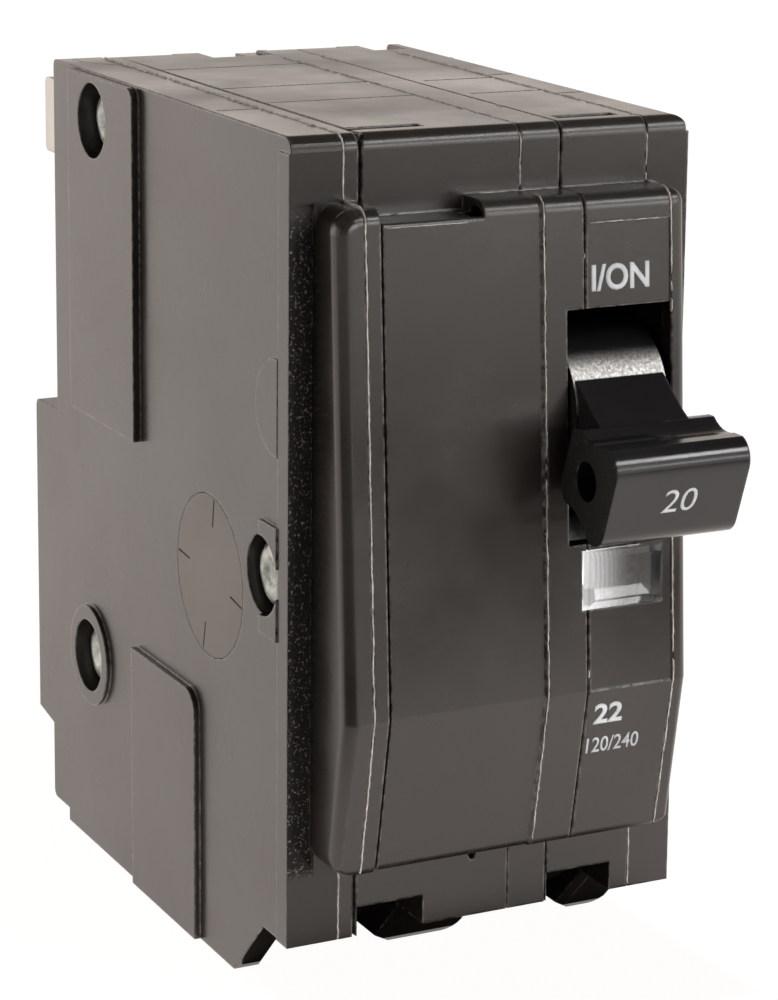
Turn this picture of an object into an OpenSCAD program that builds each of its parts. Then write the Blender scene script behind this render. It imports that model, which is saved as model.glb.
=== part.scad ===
// Two-pole plug-in circuit breaker: moulded housing, handle, two switching and tripping
// mechanisms, wire terminals and plug-on jaws. Millimetres. The breaker stands on its feet.
// While drawing, x runs from the left side face (0) to the right one and y from the front face (0)
// to the back; z runs up from a little above the soles of the feet, which lie at foot_z. place() then
// moves the origin to the middle of the foot print.

/* [Housing] */
// Width of one pole, and so the distance from pole to pole
pole_pitch = 19.05; // [17:0.05:22]
// Height from the feet to the top face
body_h = 77.2; // [70:0.1:95]
// Depth of the upper body, from the front face to the stepped back
body_depth = 56.6; // [50:0.1:70]
// How far the lower body stands further back than the upper one
back_step = 6.2; // [3:0.1:8]
// Height of the underside of that step
step_z = 41.9; // [36:0.1:50]
// Thickness of the outer walls
wall = 1.6; // [1.2:0.1:2.2]
// Thickness of the two side covers' outer walls
side_wall = 1.2; // [1:0.1:1.8]
// Depth of the left cover, up to its seam with the left case
left_cover_w = 4.7; // [4:0.1:5.4]
// Depth of the right cover
right_cover_w = 4.05; // [3.6:0.05:4.6]
// Width of the centre case between the two poles
centre_w = 3.9; // [3.4:0.1:4.6]
// How far the raised seams and pads stand out of the side faces
pad_h = 0.75; // [0.4:0.05:1.2]

/* [Front] */
// How far the nose stands out at its top edge
nose_top_out = 4.4; // [3:0.1:6]
// How far the nose stands out at its bend, near the bottom
nose_bend_out = 7.05; // [5:0.05:9]
// How far the nose stands out at its bottom edge
nose_foot_out = 4.5; // [3:0.1:6]
// Height of the nose's top face
nose_top_z = 71.5; // [66:0.1:74]
// Height of the bend in the nose's front
nose_bend_z = 27.9; // [24:0.1:34]
// Height of the nose's underside
nose_foot_z = 13.3; // [12:0.1:17]
// Set-back of the nose from the left side face
nose_left_in = 2.1; // [1.4:0.1:3]
// Set-back of the nose from the right side face
nose_right_in = 2.5; // [1.4:0.1:3.2]
// Radius of the long rounded edges across the front
lip_r = 1.3; // [0.6:0.1:1.6]
// Radius of the nose's two left corners, seen from the front
nose_corner_r = 2; // [1.4:0.1:2.6]
// How far the blank panel of the left pole lies behind the nose around it
panel_in = 0.3; // [0.1:0.05:0.6]

/* [Handle] */
// Radius of the barrel that turns in the opening
barrel_r = 6.8; // [6:0.1:7.4]
// Distance from the pivot to the front face of the lever
lever_reach = 16.8; // [15:0.1:20]
// Width of the lever's cross piece
lever_w = 13.1; // [11:0.1:14]
// Height of the lever's front face, over its round edges
lever_h = 9.3; // [8:0.1:10]
// Angle of the handle below level when it is off, and above level when on
handle_tilt = 20; // [14:1:22]
// Radius of the tie hole that runs through the lever
tie_hole_r = 1.75; // [1.2:0.05:1.9]
// Height of the handle's opening
opening_h = 20.6; // [19:0.1:23]
// Width of the handle's opening
opening_w = 10.4; // [9.4:0.1:10.6]

/* [Window] */
// Width of the indicator window
window_w = 8.1; // [6:0.1:8.6]
// Height of the indicator window
window_h = 5.3; // [4:0.1:6]
// How far the clear lens stands out of the nose
lens_proud = 0.8; // [0.2:0.1:1]

/* [Mechanism] */
// Distance from the handle's pivot to the pin that carries each contact arm
crank_r = 9; // [8.6:0.1:10]
// Angle that a contact arm turns through in the case between off and on
arm_swing = 23; // [18:1:25]
// Width of a contact arm
arm_w = 3; // [2:0.1:3.6]
// Diameter of the moving and fixed contacts
contact_d = 4.6; // [3.6:0.1:5]
// Gap left between the contacts when the handle is on
contact_gap = 0.3; // [0.2:0.05:0.6]
// Number of splitter plates in each arc chute
arc_plates = 5; // [3:1:6]
// Thickness of a splitter plate
arc_plate_t = 1; // [0.6:0.1:1.2]
// Angle that the armature turns through when it trips
armature_swing = 7; // [5:0.5:7.5]
// Angle that the cradle drops through when it trips
cradle_swing = 16; // [12:1:18]
// Travel of the trip flag behind the window
flag_travel = 6.3; // [5:0.1:6.6]
// Radius of the steel shaft that joins the two poles' handles
shaft_r = 1.5; // [1.2:0.1:1.8]
// Turns in a toggle spring
spring_turns = 7; // [4:1:9]

/* [Terminals] */
// Width of the terminal recess in the bottom of the front face
recess_w = 6.5; // [6:0.1:7]
// Radius of a terminal screw's shank
screw_r = 2.1; // [1.6:0.1:2.3]
// Radius of a terminal screw's head
screw_head_r = 2.9; // [2.6:0.1:3.1]
// Room for a wire under the clamp plate when it is fully open
wire_room = 2.3; // [1.8:0.1:2.4]
// Thickness of the copper strip in the straps, jaws and clamp plates
strip_t = 1.2; // [0.8:0.1:1.4]

/* [Jaws] */
// Clear gap between the two leaves of a plug-on jaw
jaw_gap = 4.4; // [3:0.1:5]
// Height of a jaw's leaves
jaw_h = 7.4; // [5:0.1:8]
// How far a jaw stands out of the stepped back
jaw_out = 6; // [4:0.1:8]

/* [Fasteners] */
// Radius of the rivets that hold the housing together
rivet_r = 2; // [1.5:0.1:2.2]
// Radius of the round pockets that hold the rivet heads
rivet_pocket_r = 3.6; // [3:0.1:4]
// Depth of those pockets
rivet_pocket_d = 2.4; // [1.6:0.1:2.6]
// Radius of the plug over the calibration hole in each cover
plug_r = 7.5; // [5:0.1:8]

/* [Fits] */
// Radial clearance of a pin that turns in its hole
run_fit = 0.05; // [0.02:0.01:0.1]
// Clearance between parts that only lie next to each other
side_fit = 0.2; // [0.1:0.05:0.4]

/* [Hidden] */
$fn = 48;
eps = 0.01;
far = 200;

// Seams of the housing, from left to right
body_w = 2 * pole_pitch;
seam_centre = body_w / 2 + 2.45;
seam_right_case = seam_centre + centre_w;
seam_right_cover = body_w - right_cover_w;
rim_w = 1.6;
groove_x = left_cover_w + rim_w;
case_floor = 1.6;
left_floor_x = seam_centre - case_floor;
centre_floor_x = seam_centre + case_floor + 0.1;

// The two poles' middle planes
pole_x = [9.8, 9.8 + pole_pitch];

// Feet, notch in the feet and back outline
block_z = 5.9;
foot_z = -0.6;
toe_y = 12;
foot_back_y = body_depth - 2.2;
heel_y = body_depth + 2.1;
lower_y = body_depth + back_step;
lower_z = 9.2;
heel_z = 1;
gap_back_y = 19;
tooth_x = [2.4, 13.5, 22.4, 32.5];
pole_gaps = [[tooth_x[0], tooth_x[1]], [tooth_x[2], tooth_x[3]]];

// Handle, its opening and the window
pivot = [0.4, nose_top_z - 19.05];
opening_x = pole_x[1] - opening_w / 2;
opening_z = pivot[1] - opening_h / 2 - 1.05;
window_x = pole_x[1] + 0.1 - window_w / 2;
window_z = opening_z - window_h - 0.6;
arm_pin_r = 1.2;
arm_head_r = 2.6;
barrel_x = [opening_x + 0.35, opening_x + opening_w - 0.9];

// Crank pin when off, as drawn, and when on
pin_off = pivot + crank_r * [cos(handle_tilt), sin(handle_tilt)];
pin_on = pivot + crank_r * [cos(handle_tilt), -sin(handle_tilt)];

// Contacts, drawn closed
contact_y = 39.5;
strap_z = 66.9;
contact_t = 1.4;
moving_top_z = strap_z - contact_t - contact_gap;
moving_t = 1.2;
pad_t = 1.8;

// How deep the shafts stand in the side covers
shaft_in = 0.9;

// Tripping mechanism
cradle_pivot = [38, 46.4];
armature_pivot = [21.5, 22];
armature_t = 1.2;
armature_top = 46;
latch_gap = 0.6;
latch_hold = 0.25;
latch_y = armature_pivot[0] + armature_t / 2;
bar_pivot = [30, 35];
bar_r = 1.6;
yoke_z = [22, 34];
yoke_leg = 1;
bimetal_y = 14.8;
small_pin_r = 0.8;
cradle_pin_r = 1;

// Terminals: the clamp screw points down and forward at 45 degrees
strap_point = [10.6, 10.2];
strap_half = 3.7;

// Jaws and arc chutes
jaw_t = 1;
jaw_base_y = body_depth - 3;
jaw_z = body_h - 9.9;
jaw_x = [4.5, 4.5 + pole_pitch];
chute_y = [40.3, 50.4];
chute_z = [49.5, 63.5];
chute_half = 5.2;
chute_t = 0.7;

// Rivets: height and distance from the front
rivets = [[body_depth - 12.2, body_h - 4.45], [47.3, 19.05], [5.55, 38.3]];
boss_r = 2.8;
cover_boss_r = 4.4;
pin_boss_r = 3.2;
plug_at = [17.5, 35.05];
plug_t = 0.8;

// Lever outline: round front corners, hollow waist and a small round shoulder
corner_r = 2;
lever_front = lever_reach - corner_r;
tie_hole_y = lever_reach - 4.4;
lever_tip_y = pivot[0] - lever_front * cos(handle_tilt) - (lever_h / 2 - corner_r) * sin(handle_tilt)
    - corner_r;
back_y = max(lower_y, body_depth + jaw_out);

// ---------- helpers ----------

// The finished part's origin lies under the middle of its bounding box
module place() {
    translate([-body_w / 2, -(back_y + lever_tip_y) / 2, -foot_z]) children();
}

// Start and end of a stretch that is d long
function span(a, d) = [a, a + d];

// Points of an arc about c, from angle a to angle b
function arc(c, r, a, b, n = 8) = [for (i = [0:n]) let (t = a + (b - a) * i / n) c + r * [cos(t), sin(t)]];

// Solid with an outline in y and z, from x0 to x1
module prism(x0, x1, outline) {
    translate([x0, 0, 0]) rotate([90, 0, 90]) linear_extrude(x1 - x0) polygon(outline);
}

// Cylinder along x
module rod(x0, x1, at, r) {
    translate([x0, at[0], at[1]]) rotate([0, 90, 0]) cylinder(r = r, h = x1 - x0);
}

// Box from one corner to the opposite one
module block(x, y, z) {
    translate([x[0], y[0], z[0]]) cube([x[1] - x[0], y[1] - y[0], z[1] - z[0]]);
}

// Round wire along a path of points, its section carried along without twist
module wire(path, r, facets = 8) {
    n = len(path);
    t = [for (i = [0:n - 1]) unit(path[min(i + 1, n - 1)] - path[max(i - 1, 0)])];
    u0 = unit(cross(t[0], [0.3, 0.2, 0.9]));
    u = [for (i = 0, v = u0; i < n; i = i + 1, v = i < n ? unit(v - (v * t[i]) * t[i]) : v) v];
    points = [for (i = [0:n - 1]) for (k = [0:facets - 1])
        path[i] + r * (cos(360 * k / facets) * u[i] + sin(360 * k / facets) * cross(t[i], u[i]))];
    walls = [for (i = [0:n - 2]) for (k = [0:facets - 1]) let (m = (k + 1) % facets)
        [i * facets + k, (i + 1) * facets + k, (i + 1) * facets + m, i * facets + m]];
    polyhedron(points, concat(walls, [[for (k = [0:facets - 1]) k]],
        [[for (k = [facets - 1:-1:0]) (n - 1) * facets + k]]));
}
function unit(v) = v / norm(v);

// Turns what is drawn in the handle's own frame, lever pointing forward, to the off position
module at_handle() {
    translate([0, pivot[0], pivot[1]]) rotate([handle_tilt, 0, 0]) children();
}

// Moves a contact arm from the closed place that it is drawn in to the open one
module arm_open() {
    translate([0, pin_off[0], pin_off[1]]) rotate([-arm_swing, 0, 0])
        translate([0, -pin_on[0], -pin_on[1]]) children();
}

// Terminal frame: z along the screw, out of the housing; x across; origin on the strap
module at_screw(p) {
    translate([pole_x[p], strap_point[0], strap_point[1]]) rotate([135, 0, 0]) children();
}

// ---------- housing outlines ----------

// Side outline of the body, without the nose. inset sets the front face back
function body_outline(inset = 0) = concat(
    [[inset, block_z]],
    arc([inset + lip_r, body_h - lip_r - inset / 2], lip_r, 180, 90),
    arc([body_depth - 0.6, body_h - 0.6], 0.6, 90, 0, 3),
    [[body_depth, step_z]],
    arc([lower_y - 0.8, step_z - 0.8], 0.8, 90, 0, 4),
    [[lower_y, lower_z], [heel_y, lower_z - 0.7]],
    arc([heel_y - 0.7, heel_z + 0.4], 0.7, 0, -90, 3),
    [[foot_back_y, heel_z - 0.3], [foot_back_y, foot_z], [toe_y, foot_z],
        [toe_y - block_z + foot_z, block_z]]);

// How far the nose stands out at height z
function nose_out(z) = z > nose_bend_z
    ? nose_bend_out - (nose_bend_out - nose_top_out) * (z - nose_bend_z) / (nose_top_z - lip_r - nose_bend_z)
    : nose_foot_out + (nose_bend_out - nose_foot_out) * (z - nose_foot_z) / (nose_bend_z - nose_foot_z);

upper_lean = atan((nose_bend_out - nose_top_out) / (nose_top_z - lip_r - nose_bend_z));
lower_lean = atan((nose_bend_out - nose_foot_out) / (nose_bend_z - nose_foot_z));

// Side outline of the nose, its front set back by inset and its top lowered by drop
function nose_outline(inset = 0, drop = 0) = let (r = drop > 0 ? 0.3 : lip_r) concat(
    [[wall / 2, nose_foot_z]],
    arc([0.8 - nose_foot_out + inset, nose_foot_z + 0.8], 0.8, 270, 180 + lower_lean, 4),
    [[inset - nose_bend_out, nose_bend_z]],
    arc([r - nose_out(nose_top_z - drop - r) + inset, nose_top_z - drop - r], r, 180 - upper_lean, 90),
    [[wall / 2, nose_top_z - drop]]);

// Room inside the body, and inside the nose
body_room = [
    [wall, block_z + wall], [wall, body_h - wall], [body_depth - wall, body_h - wall],
    [body_depth - wall, step_z - wall], [lower_y - wall, step_z - wall], [lower_y - wall, lower_z + wall],
    [heel_y - wall, lower_z + wall], [heel_y - wall, heel_z + wall], [foot_back_y - wall, heel_z + wall],
    [foot_back_y - wall, foot_z + wall], [gap_back_y + wall, foot_z + wall],
    [gap_back_y + wall, block_z + wall]];
nose_room = [
    [wall + eps, nose_foot_z + wall], [wall - nose_foot_out, nose_foot_z + wall],
    [wall - nose_bend_out, nose_bend_z], [wall - nose_top_out, nose_top_z - wall],
    [wall + eps, nose_top_z - wall]];

// Room between x0 and x1; the nose's side walls may stand further in than the body's
module room(x0, x1, nose_x0, nose_x1) {
    prism(x0, x1, body_room);
    prism(nose_x0, nose_x1, nose_room);
}

// Outer form of one moulding between two seams. A hair line marks each seam
seam_w = 0.08;
seam_in = 0.12;
module shell(x0, x1, nose_x0, nose_x1) {
    body_shell(x0, x1);
    nose_shell(nose_x0, nose_x1);
}
module body_shell(x0, x1) {
    prism(x0, x0 + seam_w, body_outline(seam_in));
    prism(x0 + seam_w, x1 - seam_w, body_outline());
    prism(x1 - seam_w, x1, body_outline(seam_in));
}
module nose_shell(x0, x1) {
    prism(x0, x0 + seam_w, nose_outline(seam_in));
    prism(x0 + seam_w, x1 - seam_w, nose_outline());
    prism(x1 - seam_w, x1, nose_outline(seam_in));
}

// Cuts the round edge of the nose at x, on its left side (side 1) or its right side (-1)
module nose_edge(x, side, r) {
    for (part = [[-upper_lean, 1], [180 + lower_lean, -1]])
        translate([x, -nose_bend_out, nose_bend_z]) rotate([part[0], 0, 0]) translate([0, 0, -0.05])
            linear_extrude(nose_top_z) difference() {
                translate([side > 0 ? -1 : -r, part[1] > 0 ? -1 : -r]) square([r + 1, r + 1]);
                translate([side * r, part[1] * r]) circle(r);
            }
}

// Cuts the two corners of the nose at that edge, which have the radius big seen from the front: each
// is one quarter, from angle a on, of what lies outside big and outside the round edge r
module top_corner(x, side, r, big) {
    corner(x + side * big, nose_top_z - big, -upper_lean, side > 0 ? 180 : 270, r, big);
}
module foot_corner(x, side, r, big) {
    corner(x + side * big, nose_foot_z + big, lower_lean, side > 0 ? 90 : 0, r, big);
}
module corner(x, z, lean, a, r, big) {
    translate([x, -nose_out(z), z]) {
        rotate([lean - 90, 0, 0]) rotate([0, 0, a]) rotate_extrude(angle = 90)
            polygon(concat([[big - r, -1], [big + 2, -1], [big + 2, r]], arc([big - r, r], r, 0, -90, 6)));
        translate([0, r - 0.05, 0]) rotate([-90, 0, 0]) rotate([0, 0, a]) rotate_extrude(angle = 90)
            translate([big, 0]) square([2, nose_out(z) - r + 0.05]);
    }
}

// Cuts the long round edge at the top right of the body
module top_edge(r) {
    translate([body_w - r, -1, body_h - r]) rotate([-90, 0, 0]) linear_extrude(far) difference() {
        translate([0, -r - 1]) square(r + 1);
        circle(r);
    }
}

// Gaps between the feet for the wires, cut from everything
module wire_gaps() {
    for (gap = pole_gaps) block(gap, [-far, gap_back_y], [-far, block_z]);
}

// Terminal chamber of pole p: recess in the front face, and behind it the screw's well at 45 degrees
module terminal_chamber(p) {
    w = recess_w / 2;
    back = bimetal_y + 3.2;
    prism(pole_x[p] - w, pole_x[p] + w, [[-1, block_z - 1], [-1, block_z + 2.7], [4.4, block_z + 2.7],
        [4.4, 11.6], [8.6, 15.8], [back, 15.8], [back, 9.4], [14.6, block_z + 0.6], [14.6, block_z - 1]]);
    block([pole_x[p] - w, pole_x[p] + w], [bimetal_y - 0.3, bimetal_y + 2 * strip_t + 0.3], [15, 18]);
}

// Solid part of a moulding that the terminal chamber is cut from
module terminal_block(p, x0, x1) {
    prism(x0, x1, [[wall / 2, block_z], [wall / 2, 17], [bimetal_y + 4.4, 17], [bimetal_y + 4.4, block_z + 1],
        [15, block_z]]);
}

// Thin lines across the top face, where inserts meet in the mould
module top_lines(x0, x1, places) {
    for (y = places) block([x0, x1], [y, y + 0.25], [body_h - 0.25, far]);
}

// Bosses for the rivets, from x0 to x1, and the holes for them
module rivet_bosses(x0, x1) {
    for (at = rivets) rod(x0, x1, at, boss_r);
}
module rivet_holes() {
    for (at = rivets) rod(-1, body_w + 1, at, rivet_r + run_fit);
}

// Holes for the shafts that run through both poles
module shaft_holes(x0, x1) {
    for (at = [[pivot, shaft_r], [bar_pivot, bar_r], [cradle_pivot, cradle_pin_r]])
        rod(x0, x1, at[0], at[1] + run_fit);
}
module shaft_bosses(x0, x1, nose_x0, nose_x1) {
    for (at = [bar_pivot, cradle_pivot]) rod(x0, x1, at, pin_boss_r);
    rod(nose_x0, nose_x1, pivot, pin_boss_r);
}

// Raised pads, rim and bosses of a side cover, drawn for the left face at x = 0
rim_y = 2.3;
module cover_relief(pad_top) {
    // strip along the front edge
    prism(-0.2, 0.1, [[0, block_z], [rim_y, block_z], [rim_y, body_h - 1.4], [0, body_h - 1.4]]);
    // upper pad
    prism(-pad_h, 0.1, concat([[50.8, step_z + 1.8], [50.8, pad_top]],
        arc([35.3, pad_top - 1.2], 1.2, 90, 180, 4), [[34.1, step_z + 1.8]]));
    // lower pad
    prism(-pad_h + 0.15, 0.1, concat([[19.9, foot_z], [35.5, foot_z], [35.5, 23.25]],
        arc([22, 21.15], 2.1, 90, 180, 5)));
    // ring about the lower rivet pocket, and a low step about the front one
    rod(-0.5, 0.1, rivets[1], 5);
    block([-0.35, 0.1], [rim_y - 0.1, 5.9], [33.1, 43.25]);
    intersection() {
        rod(-0.25, 0.1, [2.6, 53.7], 4.3);
        block([-1, 1], [rim_y, far], [0, far]);
    }
}

// What is cut from a side cover, drawn for the left one
module cover_cuts() {
    difference() {
        for (at = rivets) rod(-2, rivet_pocket_d, at, rivet_pocket_r);
        block([-3, rivet_pocket_d + 1], [-far, rim_y - 0.1], [0, far]);
    }
    rod(-1, plug_t, plug_at, plug_r + run_fit);
    rod(-1, side_wall + 1, plug_at, plug_r - 3);
}

// Rough shoulder beside the nose's left wall, its foot slanted
module shoulder() {
    translate([0, 0.4, 0]) rotate([90, 0, 0]) linear_extrude(2)
        polygon([[0.35, nose_foot_z + 2.1], [nose_left_in, nose_foot_z - 0.2],
            [nose_left_in, nose_top_z + 0.1], [0.35, nose_top_z + 0.1]]);
}

// Pocket in the back wall that a jaw stands in
module jaw_pocket(p) {
    half = jaw_gap / 2 + jaw_t + 0.25;
    block([jaw_x[p] - half, jaw_x[p] + half], [jaw_base_y - 0.15, far], [jaw_z - 0.3, jaw_z + jaw_h + 0.3]);
}

// ---------- housing ----------

module left_cover() color([0.13, 0.12, 0.12]) place() difference() {
    union() {
        difference() {
            union() {
                body_shell(0, left_cover_w);
                difference() {
                    difference() {
                        nose_shell(nose_left_in, left_cover_w);
                        nose_edge(nose_left_in, 1, lip_r);
                    }
                    top_corner(nose_left_in, 1, lip_r + 0.02, nose_corner_r + 0.02);
                    foot_corner(nose_left_in, 1, 0.8, nose_corner_r);
                }
            }
            room(side_wall, left_cover_w + eps, nose_left_in + side_wall, left_cover_w + eps);
        }
        for (at = rivets) rod(side_wall / 2, left_cover_w, at, cover_boss_r);
        shaft_bosses(side_wall / 2, left_cover_w, nose_left_in + 0.6, left_cover_w);
        chute_ribs(0, -1, side_wall / 2);
        yoke_ribs(0, -1, side_wall / 2);
        cover_relief(body_h - 0.2);
    }
    cover_cuts();
    shoulder();
    top_tongue(0);
    rivet_holes();
    shaft_holes(left_cover_w - shaft_in - 0.1, far);
    wire_gaps();
    jaw_pocket(0);
    top_lines(0.5, left_cover_w + 1, [16.9]);
}

// Tongue of the left case that closes the back corner of the left cover's top face
tongue_t = 1.2;
module top_tongue(gap) intersection() {
    translate([gap, gap, body_h - tongue_t + gap]) linear_extrude(tongue_t) polygon([
        [left_cover_w + 0.1, 46.2], [left_cover_w - 0.05, 47.3], [3.7, 50], [2.2, 51.8], [1.6, 53.3],
        [1.6, body_depth + 1], [left_cover_w + 0.1, body_depth + 1]]);
    prism(0, left_cover_w + 0.5, body_outline());
}

module left_case() color([0.10, 0.10, 0.10]) place() difference() {
    union() {
        difference() {
            union() {
                // rim beside the cover, groove, then the blank panel set back a little
                shell(left_cover_w, groove_x - 0.15, left_cover_w, groove_x - 0.15);
                prism(groove_x - 0.15, groove_x + 0.15, body_outline(0.6));
                prism(groove_x - 0.15, groove_x + 0.15, nose_outline(0.7, 1.3));
                shell(groove_x + 0.15, seam_centre, seam_centre - 0.2, seam_centre);
                prism(groove_x + 0.15, tab_x[0], nose_outline(panel_in, 1.3));
                prism(tab_x[0], seam_centre - 0.2, nose_outline(panel_in));
            }
            room(left_cover_w - eps, left_floor_x, left_cover_w - eps, left_floor_x);
            panel_cuts();
        }
        rivet_bosses(left_cover_w, seam_centre);
        terminal_block(0, pole_x[0] - recess_w / 2 - 1.3, pole_x[0] + recess_w / 2 + 1.3);
        notch_walls();
        block([left_cover_w, notch_x[0] - wall], [liner_y, liner_y + 0.5], [step_z, body_h - 0.3]);
        chute_ribs(0, 1, left_floor_x + 1);
        yoke_ribs(0, 1, left_floor_x + 1);
        top_tongue(seam_w);
    }
    terminal_chamber(0);
    rivet_holes();
    shaft_holes(0, far);
    wire_gaps();
    jaw_pocket(0);
    back_notch();
    top_lines(groove_x, seam_centre, [20, 30.1, 44.5]);
    block([groove_x, 13.4], [2.3, 3.8], [body_h - 2.5, far]);
    feet_corners();
}

// The raised tab at the top of the blank panel is hollow from its left end, under a thin arch
tab_x = [16, 21.5];
module panel_cuts() {
    prism(tab_x[0] - 1, tab_x[1] - 1.4, concat([[-3.7, nose_top_z - 4]],
        arc([-2.4, nose_top_z - 1.8], 1.3, 180, 0, 6), [[-1.1, nose_top_z - 4]]));
    // small dark pocket under the panel's lower edge
    translate([0, 1.1, 0]) rotate([90, 0, 0]) linear_extrude(3)
        polygon([[17.7, 11.2], [18.1, 11.2], [18.5, 12.5], [17.1, 12.5]]);
    // chamfered corner beside the groove
    translate([groove_x + 0.1, 1, body_h]) rotate([90, 0, 0]) linear_extrude(3)
        polygon([[0, -0.8], [0.8, 0.1], [0, 0.1]]);
}

// Notches in the back: one in each pole, the walls that close them, and the shallow recesses between
notch_x = [15, 19.3];
right_notch_x = [32.6, 36.2];
notch_y = 52;
liner_y = body_depth - 1.9;
recess_y = body_depth - 1.1;
module notch_walls() {
    block([notch_x[0] - wall, seam_centre], [notch_y - 1.5, body_depth], [step_z - wall, body_h - 0.3]);
}
module back_notch() {
    block([notch_x[0], seam_centre + 1], [notch_y, far], [step_z, far]);
    block([left_cover_w, notch_x[0] - 2.7], [recess_y, far], [step_z, far]);
}

// Bevelled left corners of the middle and the right foot, and their round right corners
module feet_corners() {
    translate([0, gap_back_y - 1, 0]) rotate([90, 0, 0]) linear_extrude(gap_back_y - 6) {
        for (x = [tooth_x[1], tooth_x[3]])
            polygon([[x - 1, foot_z - 1], [x + 2, foot_z - 1], [x + 2, foot_z], [x, foot_z + 1.3],
                [x - 1, foot_z + 1.3]]);
        for (x = [tooth_x[2], body_w + 0.1]) polygon(concat([[x + 1, foot_z - 1]],
            arc([x - 1.4, foot_z + 1.4], 1.4, -90, 0, 4), [[x + 1, foot_z + 1.4]]));
    }
}

// Ribs that an arc chute stands between
module chute_ribs(p, side, x_from, x_limit = 0) {
    x = pole_x[p] + side * (chute_half - 1);
    x_back = max(x, x_limit);
    block([min(x, x_from), max(x, x_from)], [chute_y[0] + 1, chute_y[1]], [chute_z[0] - 1.3, chute_z[0]]);
    block([min(x_back, x_from), max(x_back, x_from)], span(chute_y[1], 1), [chute_z[0] - 1.3, chute_z[1]]);
}

// Ribs that hold the magnet yoke
module yoke_ribs(p, side, x_from) {
    x = pole_x[p] + side * 3.4;
    block([min(x, x_from), max(x, x_from)], [bimetal_y - 2, 17.6], [yoke_z[0] - 1.2, yoke_z[0]]);
    block([min(x, x_from), max(x, x_from)], [bimetal_y - 2.7, bimetal_y - 1.5], [yoke_z[0] - 1.2, yoke_z[1]]);
}

module centre_case() color([0.10, 0.10, 0.10]) place() difference() {
    union() {
        difference() {
            shell(seam_centre, seam_right_case, seam_centre, seam_right_case);
            room(centre_floor_x, seam_right_case + eps, centre_floor_x, seam_right_case + eps);
        }
        // ear that closes the back beside the notch
        block([notch_x[1], seam_centre + eps], [notch_y + side_fit, body_depth], [step_z, body_h - 0.3]);
        difference() {
            rivet_bosses(seam_centre, pole_x[1] + 1);
            rod(centre_floor_x, far, rivets[2], boss_r + 1);
        }
        rod(seam_centre, centre_floor_x + 1, rivets[2], boss_r);
        block([23, seam_right_case], [liner_y, liner_y + 0.5], [step_z, body_h - 0.3]);
        flag_rail(-1, seam_centre + 1);
        chute_ribs(1, -1, centre_floor_x - 1);
        yoke_ribs(1, -1, centre_floor_x - 1);
    }
    rivet_holes();
    shaft_holes(0, far);
    wire_gaps();
    jaw_pocket(1);
    handle_opening();
    window();
    feet_corners();
    block([tooth_x[2], far], [recess_y, far], [step_z, far]);
}

module handle_opening() {
    block([opening_x, opening_x + opening_w], [-far, wall + 2], [opening_z, opening_z + opening_h]);
}
module window() {
    block([window_x, window_x + window_w], [-far, -4.5], [window_z, window_z + window_h]);
}

// Rail that guides one edge of the trip flag; side is 1 on the right, -1 on the left
module flag_rail(side, x_wall) {
    edge = pole_x[1] + 0.1 + side * (window_w / 2 - 0.4 + side_fit);
    z = [window_z - flag_travel - 2, window_z - 0.8];
    block([min(edge, x_wall), max(edge, x_wall)], [wall / 2 - nose_out(window_z), -1.2], z);
    lip = edge - side;
    block([min(lip, x_wall), max(lip, x_wall)], [-2.4 + side_fit, -1.2], z);
}

module right_case() color([0.10, 0.10, 0.10]) place() difference() {
    union() {
        difference() {
            shell(seam_right_case + 0.12, seam_right_cover, seam_right_case + 0.12, seam_right_cover);
            room(seam_right_case, far, seam_right_case, far);
        }
        intersection() {
            terminal_block(1, seam_right_case + 0.12, pole_x[1] + recess_w / 2 + 1.3);
            block([0, far], [0, far], [0, far]);
        }
        flag_rail(1, seam_right_cover);
        block([right_notch_x[0] - wall, seam_right_cover], [notch_y - 1.5, body_depth],
            [step_z - wall, body_h - 0.3]);
        block([seam_right_case + 0.12, right_notch_x[0] - wall], span(liner_y, 0.5), [step_z, body_h - 0.3]);
    }
    block([0, right_notch_x[0] - 2.3], [recess_y, far], [step_z, far]);
    block([right_notch_x[0], far], [notch_y, far], [step_z, far]);
    terminal_chamber(1);
    wire_gaps();
    feet_corners();
    rivet_holes();
    jaw_pocket(1);
    handle_opening();
    window();
    label_face();
    top_lines(seam_right_case + 1.2, seam_right_cover, [19.1, 28.7]);
    block([seam_right_case + 1, 32.4], [2.3, 3.8], [body_h - 2.5, far]);
}

// The printed face is sunk a little below the lip over it
module label_face() {
    z = nose_top_z - 2.4;
    prism(seam_right_case + 0.3, seam_right_cover - 0.1, [[-far, z], [-far, nose_bend_z],
        [0.12 - nose_bend_out, nose_bend_z], [0.12 - nose_out(z), z]]);
}

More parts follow.
